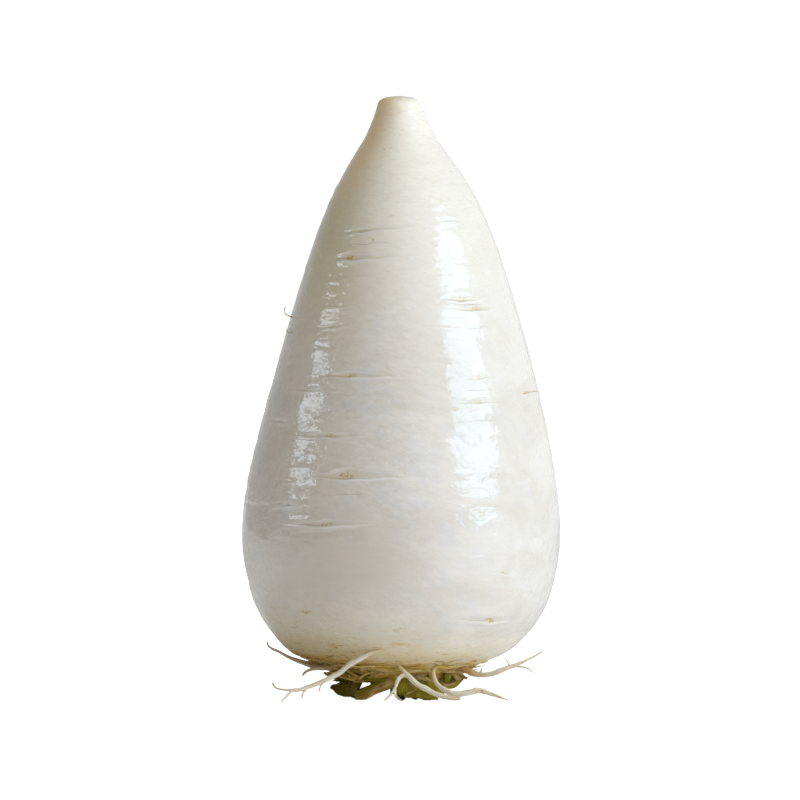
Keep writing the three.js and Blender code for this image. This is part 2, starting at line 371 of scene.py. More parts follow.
def crease_relief(above, depth, gape):
    """The outward shift in mm near a crease: a groove between a soft upper rim and a raised lower lip."""
    top, bottom = gape, -0.5 * gape
    groove = smooth_step(top + 0.9, top - 0.2, above) * smooth_step(bottom - 0.45, bottom + 0.35, above)
    lip = np.exp(-(((above - bottom + 0.85) / 0.8) ** 2))
    rim = np.exp(-(((above - top - 1.4) / 1.1) ** 2))
    pillow = np.exp(-(((above - bottom + 3) / 2.2) ** 2))
    return depth * (0.75 * lip + 0.4 * rim + 0.3 * pillow - groove)


def flank_relief(base):
    """Growth rings, broad unevenness and fine ripples of the flank, in mm."""
    heights = base[:, 2]
    flank = smooth_step(14, 30, heights) * smooth_step(222, 205, heights)
    slanted = base + np.outer(fractal_noise(base, (30, 30, 20), SEED + 1), (0, 0, 3))
    rings = fractal_noise(slanted, (26, 26, 3.6), SEED + 2, 2)
    broad = fractal_noise(base, (55, 55, 60), SEED + 3, 2)
    fine = fractal_noise(slanted, (9, 9, 2.4), SEED + 4, 2)
    return flank * (0.13 * rings + 0.45 * broad + 0.035 * fine)


def crown_field(angles, heights, radii):
    """How much each vertex belongs to the stained crown, which reaches furthest and is strongest on the
    shaded left, partly as painted shade.
    """
    reach = radii + 3 * np.cos(angles - STAIN_AND_SHADE_SIDE + math.pi)
    crown = smooth_step(54, 25, reach) * smooth_step(45, 22, heights)
    return crown * (0.68 + 0.5 * np.cos(angles - STAIN_AND_SHADE_SIDE))


def crown_relief(base, radii, crown):
    """The ragged rings that old leaves left round the crown, and its wrinkles, in mm."""
    ragged = radii + 1.6 * fractal_noise(base, (7, 7, 7), SEED + 5)
    rings = 0.45 * (ragged / 2.6 % 1) - 0.3
    wrinkled = base * (1, 1, 3.5) + np.outer(fractal_noise(base, (12, 12, 6), SEED + 7), (0, 0, 4))
    wrinkles = 0.22 * fractal_noise(wrinkled, (5, 5, 3), SEED + 6)
    return smooth_step(0.6, 1.1, crown) * rings + smooth_step(0.35, 0.8, crown) * wrinkles


def patch_field(angles, heights, radii):
    """How strong the soft tan patches are at each vertex."""
    patches = np.zeros(len(angles))
    for x, z, width, tall, strength in PATCH_PLACES:
        turn = (angles - angle_of_front_point(x, z) + math.pi) % (2 * math.pi) - math.pi
        spot = np.exp(-((turn * radii / width) ** 2) - ((heights - z) / tall) ** 2)
        patches = np.maximum(patches, strength * spot)
    return patches


def build_root():
    outline = root_outline()
    tangent = unit(np.gradient(outline, axis=0))
    rounds = ROOT_ROWS - 2
    radii, heights = (np.repeat(outline[1:-1, k], ROOT_COLUMNS) for k in (0, 1))
    out, up = (np.repeat(values[1:-1], ROOT_COLUMNS) for values in (tangent[:, 1], -tangent[:, 0]))
    angles = np.tile(np.arange(ROOT_COLUMNS) * 2 * math.pi / ROOT_COLUMNS, rounds)
    base = np.stack([radii * np.cos(angles), radii * np.sin(angles), heights], axis=1)

    above, aside, depth, tan, gape = crease_fields(angles, heights, radii)
    crown = crown_field(angles, heights, radii)
    relief = crease_relief(above, depth, gape) + flank_relief(base) + crown_relief(base, radii, crown)
    relief *= smooth_step(0, 4, radii)
    outward = np.stack([out * np.cos(angles), out * np.sin(angles), up], axis=1)
    vertices = base + relief[:, None] * outward
    vertices[:, 0] += axis_shift(vertices[:, 2])

    ends = [(axis_shift(height), 0, height) for height in outline[[0, -1], 1]]
    vertices, faces = tube(vertices.reshape(rounds, ROOT_COLUMNS, 3), *ends)

    # Each field, and its values at the two poles.
    fields = {
        "crease_above": (above, 20, 20),
        "crease_aside": (aside, 30, 30),
        "crease_depth": (depth, 0, 0),
        "crease_tan": (tan, 0, 0),
        "crease_gape": (gape, 0, 0),
        "crown": (crown, 1, 0),
        "patch": (patch_field(angles, heights, radii), 0, 0),
    }
    attributes = {name: np.append(values, at_poles) for name, (values, *at_poles) in fields.items()}
    return make_object("radish_root", vertices, faces, attributes)


# Colours of the skin, as linear RGB: first its flesh, mottling, the painted shade of its left side, and
# veins.
FLESH = (0.83, 0.822, 0.79)
MOTTLED_FLESH = (0.745, 0.725, 0.67)
STREAK = (0.71, 0.665, 0.57)
PAINTED_SHADE_LEFT = (0.775, 0.735, 0.64)
ROSY_FLESH = (0.81, 0.765, 0.72)
COOL_FLESH = (0.765, 0.785, 0.81)
VEIN = (0.93, 0.92, 0.89)
BETWEEN_VEINS = (0.62, 0.6, 0.54)
# Its neck with its painted shade, the painted shade of its belly, its foot with painted shade on the left,
# and its tip.
LEFT_NECK = (0.97, 0.955, 0.865)
PAINTED_SHADE_RIGHT_NECK = (0.87, 0.87, 0.8)
PAINTED_SHADE_UPPER_LEFT = (0.72, 0.66, 0.455)
PAINTED_SHADE_BELLY = (0.705, 0.665, 0.595)
RIGHT_FOOT = (0.91, 0.83, 0.635)
PAINTED_SHADE_FOOT = (0.74, 0.65, 0.44)
DEEPER_PAINTED_SHADE_FOOT = (0.57, 0.47, 0.27)
DRY_FLECK = (0.66, 0.57, 0.4)
PALE_FLECK = (0.93, 0.92, 0.88)
TANNED_TIP = (0.92, 0.75, 0.47)
# Its creases, with painted shade in the groove and painted highlights on the lip and rim.
PAINTED_GROOVE_SHADE = (0.74, 0.69, 0.56)
CREASE_SEAM = (0.55, 0.44, 0.25)
SCAR = (0.8, 0.71, 0.48)
SCAR_GRAIN = (0.5, 0.39, 0.19)
PAINTED_LIP_HIGHLIGHT = (0.87, 0.87, 0.85)
PAINTED_RIM_HIGHLIGHT = (0.85, 0.84, 0.79)
# Its stains, each lit and with painted shade for the left side.
PATCH = (0.56, 0.4, 0.18)
TAN_STAIN = ((0.82, 0.67, 0.38), (0.66, 0.53, 0.28))
BROWN_STAIN = ((0.66, 0.45, 0.14), (0.54, 0.35, 0.07))
DARK_STAIN = (0.38, 0.25, 0.03)
CRACK = (0.42, 0.28, 0.1)


class Skin(Shader):
    """The wet skin of the root. Its colours are laid over each other, one layer after the other."""

    def __init__(self):
        super().__init__(bpy.data.materials.new("wet_radish_skin"))
        x, y, z = self.add("ShaderNodeSeparateXYZ", {0: self.coordinates}).outputs
        self.height, self.across = self.times(z, 1000), self.times(x, 1000)
        self.crown = self.attribute("crown")
        leaning = self.plus(z, self.times(x, self.plus(self.times(x, 4), 0.3)))
        self.leaning = self.add("ShaderNodeCombineXYZ", {0: x, 1: y, 2: leaning}).outputs[0]
        self.mottle = self.noise(40, 5, (1, 1, 1.5), 0.6, 0.8)
        self.speckle = self.noise(260, 6, (1, 1, 3.5), 0.75, 0.6)
        self.veins = self.noise(240, 2, (1, 1, 2), 0.6, 0.9, self.leaning)
        # Height from the floor, mottled and a little lower on the left, so the foot's tan and its painted
        # shade reach higher there.
        self.from_floor = self.plus(self.height, self.times(self.mottle, 14), self.times(self.across, 0.15))
        self.color = FLESH

    def lay(self, amount, color):
        self.color = self.mix(amount, self.color, color)


def paint_flesh(s):
    """Mottled and streaky flesh, with painted warm shade on the left side, rosy and cool clouds and a net of
    veins.
    """
    streaks = s.noise(75, 4, (1, 1, 4), 0.6, 0.8)
    s.lay(s.smooth(s.mottle, 0.36, 0.66), MOTTLED_FLESH)
    s.lay(s.smooth(streaks, 0.52, 0.75, 0, 0.28), STREAK)
    # Painted shade: the left side warmer and duller.
    s.lay(s.smooth(s.across, 8, -26, 0, 0.4), PAINTED_SHADE_LEFT)
    clouds = s.noise(75, 3, (1, 1, 1.3), 0.55, 0.7, s.leaning)
    clouded = s.smooth(s.across, 40, 10, 0.4, 1)
    s.lay(s.times(s.smooth(clouds, 0.47, 0.64, 0, 0.55), clouded), ROSY_FLESH)
    s.lay(s.times(s.smooth(clouds, 0.49, 0.33, 0, 0.6), clouded), COOL_FLESH)
    veined = s.smooth(s.across, 26, -4, 0.07, 0.36)
    s.lay(s.times(s.smooth(s.veins, 0.5, 0.72), veined), VEIN)
    s.lay(s.times(s.smooth(s.veins, 0.5, 0.28), veined), BETWEEN_VEINS)


def paint_ends(s):
    """The dry neck with painted shade on its upper left and on its lit right, painted shade on the lower
    belly, the tan foot with painted shade on its left, and the browned left edge of the tip.
    """
    height, across = s.height, s.across
    neck = s.smooth(s.plus(height, s.times(s.mottle, 30)), 115, 225, 0, 0.85)
    # The neck is painted darker on its lit right: painted shade that offsets the key light.
    s.lay(neck, s.mix(s.smooth(across, 0, 20), LEFT_NECK, PAINTED_SHADE_RIGHT_NECK))
    # Painted shade: the upper left of the neck yellower and darker, as the shaded side.
    upper_left_shade = s.times(s.smooth(across, -8, -26), s.smooth(height, 115, 180, 0, 0.85))
    s.lay(upper_left_shade, PAINTED_SHADE_UPPER_LEFT)
    belly_side = s.math("ABSOLUTE", s.plus(across, 19))
    # Painted shade: the lower middle of the belly duller and darker.
    belly_shade = s.times(s.smooth(height, 78, 54), s.smooth(height, 31, 50),
                    s.smooth(belly_side, 40, 12, 0, 0.85))
    s.lay(belly_shade, PAINTED_SHADE_BELLY)
    # The tan foot is the root's own colour; its darker olive on the left, deepest near the floor, is painted
    # shade.
    foot = s.smooth(s.from_floor, 48, 16, 0, 0.8)
    left_foot_shade = s.mix(s.smooth(s.from_floor, 28, 16), PAINTED_SHADE_FOOT, DEEPER_PAINTED_SHADE_FOOT)
    s.lay(foot, s.mix(s.smooth(across, 0, -40), RIGHT_FOOT, left_foot_shade))
    dry = s.largest(neck, foot, 0.2)
    s.lay(s.times(s.smooth(s.speckle, 0.46, 0.74, 0, 0.4), dry), DRY_FLECK)
    s.lay(s.times(s.smooth(s.speckle, 0.5, 0.28, 0, 0.5), dry), PALE_FLECK)
    edge = s.times(s.minus(225, height), 0.34)
    past_edge = s.plus(s.minus(s.times(across, -1), edge), s.times(s.speckle, 10))
    s.lay(s.times(s.smooth(past_edge, 1, 13), s.smooth(height, 175, 212)), TANNED_TIP)


def paint_creases(s):
    """The parts of each crease, with painted shade in its groove and painted highlights on its lower lip and
    upper rim. Returns where the scars are, and the fine relief of the creases.
    """
    above, aside, depth, tan, gape = (
        s.attribute("crease_" + name) for name in ("above", "aside", "depth", "tan", "gape"))
    deep = s.math("MULTIPLY", depth, 2.6, True)
    over_rim = s.minus(above, gape)
    over_lip = s.plus(above, s.times(gape, 0.5))
    # Painted shade: the floor of the groove darker and tan.
    floor = s.times(s.smooth(over_rim, 0.35, -0.15), s.smooth(over_lip, -0.15, 0.1), deep)
    s.lay(s.times(floor, 0.5), PAINTED_GROOVE_SHADE)
    seam = s.times(s.smooth(over_lip, 0.55, 0.15), s.smooth(over_lip, -0.1, 0.1), deep)
    s.lay(s.times(seam, s.smooth(aside, 6, -2, 0.15, 0.9), tan), CREASE_SEAM)
    middle, reach = s.times(gape, 0.1), s.plus(s.times(gape, 0.45), 0.55)
    tall = s.math("DIVIDE", s.minus(above, middle), reach)
    wide = s.math("DIVIDE", aside, s.plus(s.times(gape, 1.2), 1.7))
    far = s.plus(s.math("POWER", tall, 2), s.math("POWER", s.math("ABSOLUTE", wide), 2),
                 s.times(s.noise(420, 3), 2.2))
    scar = s.times(s.smooth(far, 2.3, 1.2), tan)
    grain = s.noise(1100, 3, (1, 1, 1), 0.6)
    s.lay(scar, s.mix(s.smooth(grain, 0.42, 0.6), SCAR, SCAR_GRAIN))
    # Painted highlights: the lower lip whiter, more so right of the scar, and the upper rim paler.
    lip = s.times(s.smooth(over_lip, -1.5, -0.7), s.smooth(over_lip, 0, -0.3), deep,
                  s.smooth(aside, -6, 3, 0.5, 1))
    s.lay(lip, PAINTED_LIP_HIGHLIGHT)
    rim = s.times(s.smooth(over_rim, 0.25, 0.55), s.smooth(over_rim, 1.1, 0.7), deep)
    s.lay(s.times(rim, 0.4), PAINTED_RIM_HIGHLIGHT)
    return scar, s.times(s.minus(lip, s.times(floor, 0.6)), depth)


def paint_stains(s):
    """Tan patches, the stain of the crown with painted shade on its left, and its cracks. Returns where the
    stain is, and its fibres.
    """
    patch = s.attribute("patch")
    dashes = s.noise(420, 4, (1, 1, 3), 0.7, 0.6)
    worn = s.plus(patch, s.times(s.minus(dashes, 0.5), 1.5))
    s.lay(s.times(s.smooth(worn, 0.3, 0.62, 0, 0.85), s.smooth(patch, 0.05, 0.3)), PATCH)
    fibre = s.noise(190, 6, (1, 1, 5), 0.75, 0.8)
    stain = s.plus(s.crown, s.times(s.minus(fibre, 0.5), 1.1))
    # On the left the stains take their darker copies: painted shade.
    stain_shade_left = s.smooth(s.across, -4, -28)
    s.lay(s.smooth(stain, 0.05, 0.5, 0, 0.7), s.mix(stain_shade_left, *TAN_STAIN))
    s.lay(s.smooth(stain, 0.5, 0.85), s.mix(stain_shade_left, *BROWN_STAIN))
    s.lay(s.smooth(stain, 0.9, 1.2), DARK_STAIN)
    crack = s.smooth(s.noise(210, 4, (1, 1, 6), 0.6, 1.2), 0.61, 0.66)
    s.lay(s.times(crack, s.smooth(s.from_floor, 38, 20, 0, 0.85)), CRACK)
    return s.smooth(stain, 0.25, 0.6), s.times(fibre, s.crown)


def skin_bumps(s, crisp, fibres):
    """The normal of the skin, and that of the film of water on it, which ripples on its own."""
    creased = s.bump(crisp, 0.45)
    creased = s.bump(s.noise(75, 2, (1, 1, 4), 0.5, 0.4), 0.16, creased)
    dimples, pits = s.noise(270, 1, (1, 1, 1.3), 0.6, 1), s.noise(430, 0, (1, 1, 1.2), 0.5, 0.8)
    wet = s.bump(s.noise(48, 1, (1, 1, 2.2), 0.5, 0.5), 0.55, creased)
    wet = s.bump(s.noise(110, 1, (1, 1, 1.8), 0.5, 0.5), 0.32, wet)
    wet = s.bump(s.smooth(dimples, 0.54, 0.72), 0.09, wet)
    wet = s.bump(s.smooth(pits, 0.58, 0.68), 0.04, wet)
    skin = s.bump(s.noise(300, 4, (1, 1, 1.4), 0.6, 0.5), 0.07, creased)
    skin = s.bump(s.veins, 0.07, skin)
    return s.bump(fibres, 1.2, skin), s.bump(fibres, 1.2, wet)


def skin_material():
    s = Skin()
    paint_flesh(s)
    paint_ends(s)
    scar, crisp = paint_creases(s)
    stained, fibres = paint_stains(s)
    normal, wet = skin_bumps(s, crisp, fibres)
    rough = s.smooth(s.noise(25, 3), 0.3, 0.7, 0.4, 0.55)
    rough = s.largest(rough, s.times(s.largest(stained, scar), 0.75))
    dry = s.largest(stained, s.smooth(s.crown, 0.05, 0.35, 0, 0.85), s.smooth(s.height, 219, 223.5))
    film = {"Coat Weight": s.minus(0.95, s.times(dry, 0.9)), "Coat Roughness": 0.02, "Coat IOR": 1.6,
            "Coat Normal": wet, "Specular IOR Level": 0.12}
    return s.finish(s.color, rough, normal, **film)


root = build_root()
root.data.materials.append(skin_material())
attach(root, "root")
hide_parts("root")

# ---- sweeps


def path_frame(line, across):
    """Unit tangents, widthwise and outward directions along a curve."""
    tangent = unit(np.gradient(line, axis=0))
    out = unit(np.cross(np.broadcast_to(np.array(across, float), line.shape), tangent))
    return tangent, np.cross(tangent, out), out


def rings_along(line, side, out, x, y):
    """A ring round each point of a path, from distances in mm along its width and outwards."""
    return line[:, None] + side[:, None] * x[..., None] + out[:, None] * y[..., None]


def along_path(values, rows):
    """A smooth run of values, one for each row of a sweep."""
    curve = catmull_rom(np.array(values, float)[:, None], 10)[:, 0]
    return np.interp(np.linspace(0, 1, rows), np.linspace(0, 1, len(curve)), curve)


def strap(path, across, widths, thicknesses, bend=0, ribs=5, rib_depth=0.2, ragged=0.6, hollow=0.8,
          rows=48, columns=48, seed=0, pith=0, husk=-1):
    """A cut leaf stalk: a ribbed crescent section swept along a path, with a sunken, ragged cut end.

    Pith is how fresh the cut is, and husk how far dry tan skin covers it, from one side over to the other.
    """
    line = resample(catmull_rom(path, 12), rows)
    tangent, side, out = path_frame(line, across)
    width, thick = along_path(widths, rows), along_path(thicknesses, rows)
    phi = np.arange(columns) * 2 * math.pi / columns
    x = np.sign(np.cos(phi)) * np.abs(np.cos(phi)) ** 0.8
    y = np.sign(np.sin(phi)) * np.abs(np.sin(phi)) ** 0.8
    rib = rib_depth * np.cos(ribs * math.pi * x) * np.clip(y, 0, 1)
    grown = thick[:, None] / 2 * y + rib - bend * x**2 + bend / 3
    rounds = rings_along(line, side, out, width[:, None] / 2 * x, grown)
    wobble = 0.1 * fractal_noise(rounds.reshape(-1, 3), (2.6, 2.6, 5), SEED + seed)
    rounds += wobble.reshape(rows, columns, 1) * (rounds - line[:, None])
    share = np.linspace(0, 1, rows)
    frayed = ragged * fractal_noise(rounds[-1], (1.3, 1.3, 1.3), SEED + seed + 20)
    rounds += tangent[-1] * np.outer(np.maximum(share - 0.8, 0) / 0.2, frayed)[..., None]
    centre = rounds[-1].mean(axis=0)
    caps = [centre + (rounds[-1] - centre) * size - tangent[-1] * depth
            for size, depth in ((0.86, 0.05), (0.7, 0.6 * hollow), (0.45, hollow))]
    vertices, faces = tube([*rounds, *caps], line[0], centre - tangent[-1] * hollow)
    capped = np.ones(len(caps))
    return vertices, faces, {
        "along": np.append(np.repeat([*share, *capped], columns), (0, 1)),
        "around": np.append(np.tile(x * np.where(y > 0, 1, 1.3), rows + len(caps)), (0, 0)),
        "cut": np.append(np.repeat([*np.zeros(rows), *capped], columns), (0, 1)),
        "pith": np.full(len(vertices), pith),
        "husk": np.full(len(vertices), husk),
    }


def strand(points, widths, seed=0, sides=14, spacing=0.35):
    """A rootlet: a slightly flattened, twisted and wavering tube with rounded ends."""
    curve = catmull_rom(points, 10)
    length = np.linalg.norm(np.diff(curve, axis=0), axis=1).sum()
    rows = max(12, int(length / spacing))
    line = resample(curve, rows)
    share = np.linspace(0, 1, rows)
    waver = np.stack([fractal_noise(line, (5, 5, 5), SEED + seed + k, 2) for k in range(3)], axis=1)
    line += 0.22 * waver * np.minimum(share * 4, 1)[:, None]
    tangent, side, out = path_frame(line, (0.31, 0.42, 0.85))
    radius = along_path(widths, rows) / 2
    radius *= 1 + 0.14 * fractal_noise(line, (3, 3, 3), SEED + seed + 5, 2)
    radius *= np.sqrt(np.clip(1 - ((share - 1) * (rows - 1) / 2.2 + 1).clip(0, 0.98) ** 2, 0, 1))
    phi = np.arange(sides) * 2 * math.pi / sides
    lobes = radius[:, None] * (1 + 0.16 * np.cos(2 * phi + 1.5 * share[:, None] + seed))
    rounds = rings_along(line, side, out, lobes * np.cos(phi), lobes * np.sin(phi))
    vertices, faces = tube(rounds, line[0], line[-1] + tangent[-1] * 0.05)
    along, around = np.append(np.repeat(share, sides), (0, 1)), np.append(np.tile(phi, rows), (0, 0))
    return vertices, faces, {"along": along, "around": around}


def joined(parts):
    """Several shells as one set of vertices, faces and attributes."""
    vertices, faces, attributes, start = [], [], {}, 0
    for part_vertices, part_faces, part_attributes in parts:
        vertices.append(part_vertices)
        faces += [tuple(index + start for index in face) for face in part_faces]
        for key, values in part_attributes.items():
            attributes.setdefault(key, []).append(values)
        start += len(part_vertices)
    attributes = {key: np.concatenate(values) for key, values in attributes.items()}
    return np.concatenate(vertices), faces, attributes


def fused(name, parts, voxel_mm):
    """Overlapping shells as one skin, with the attributes of the nearest original vertex."""
    vertices, faces, attributes = joined(parts)
    rough = make_object(name + "_rough", vertices, faces)
    remesh = rough.modifiers.new("remesh", "REMESH")
    remesh.mode, remesh.voxel_size = "VOXEL", voxel_mm * MM
    soften = rough.modifiers.new("soften", "SMOOTH")
    soften.factor, soften.iterations = 0.5, 2
    shape = rough.evaluated_get(bpy.context.evaluated_depsgraph_get()).to_mesh()
    points = np.empty(len(shape.vertices) * 3, np.float32)
    shape.vertices.foreach_get("co", points)
    points = points.reshape(-1, 3) / MM
    skin = [tuple(face.vertices) for face in shape.polygons]
    tree = KDTree(len(vertices))
    for index, vertex in enumerate(vertices):
        tree.insert(vertex, index)
    tree.balance()
    nearest = [tree.find(point)[1] for point in points]
    bpy.data.objects.remove(rough)
    points[:, 2] = np.maximum(points[:, 2], 0.02)
    return make_object(name, points, skin, {key: values[nearest] for key, values in attributes.items()})


# ---- leaf stalks


def flat_direction(azimuth):
    """The level direction along a stalk's width when its outer face looks to this azimuth."""
    turn = math.radians(azimuth + 90)
    return (math.cos(turn), math.sin(turn), 0)


# Linear RGB of the stalks' tan tops and dry husk, then of their cut ends, each dark and light: a near-black
# painted shade for a hollow end and green for a fresh one.
STALK_TOP = (0.36, 0.25, 0.085)
BROWN_HUSK = (0.42, 0.27, 0.06)
PALE_HUSK = (0.8, 0.6, 0.27)
HUSK_FIBRE = (0.24, 0.14, 0.03)
PAINTED_HOLLOW_SHADE = ((0.012, 0.008, 0.002), (0.06, 0.045, 0.01))
FRESH_PITH = ((0.26, 0.23, 0.02), (0.4, 0.34, 0.06))


def stalk_material(name, flesh, shadow, rim):
    s = new_shader(name)
    along, cut = s.attribute("along"), s.attribute("cut")
    fibres = s.fibres(9, 1.6, 1.6)
    blotch = s.noise(210, 4, (1, 1, 1), 0.6)
    color = s.mix(s.smooth(fibres, 0.38, 0.64), shadow, flesh)
    color = s.mix(s.smooth(blotch, 0.5, 0.78, 0, 0.7), color, shadow)
    top = s.smooth(s.plus(along, s.times(blotch, 0.25)), 0.42, 0.12)
    color = s.mix(top, color, STALK_TOP)
    husk = s.minus(s.attribute("husk"), along)
    husk = s.plus(husk, s.times(s.minus(fibres, s.attribute("around")), 0.5))
    dried = s.mix(s.smooth(blotch, 0.4, 0.6), BROWN_HUSK, PALE_HUSK)
    dried = s.mix(s.smooth(fibres, 0.56, 0.66, 0, 0.8), dried, HUSK_FIBRE)
    color = s.mix(s.smooth(husk, 0.6, 1.1, 0, 0.9), color, dried)
    foot = s.smooth(s.plus(along, s.times(blotch, 0.2)), 0.99, 1.12, 0, 0.8)
    color = s.mix(foot, color, rim)
    grain = s.smooth(s.noise(700, 3), 0.4, 0.65)
    # A cut end with no fresh pith gets near-black painted shade for its hollow.
    color = s.mix(cut, color, s.mix(s.attribute("pith"), s.mix(grain, *PAINTED_HOLLOW_SHADE), s.mix(grain, *FRESH_PITH)))
    normal = s.bump(s.noise(900, 3), 0.12, s.bump(fibres, 0.5))
    rough = s.smooth(blotch, 0.3, 0.7, 0.5, 0.7)
    return s.finish(color, rough, normal, **{"Specular IOR Level": 0.12})


PALE = stalk_material("pale_leaf_stalk", (0.44, 0.385, 0.035), (0.2, 0.16, 0.01), (0.4, 0.32, 0.08))
DARK = stalk_material("dark_leaf_stalk", (0.2, 0.165, 0.014), (0.085, 0.066, 0.004), (0.15, 0.12, 0.015))
DARK_STALKS = ("leaf_stalk_back", "leaf_stalk_back_left", "leaf_stalk_left_curled")
# The mesh of a small strap.
SMALL = {"rows": 24, "columns": 24}

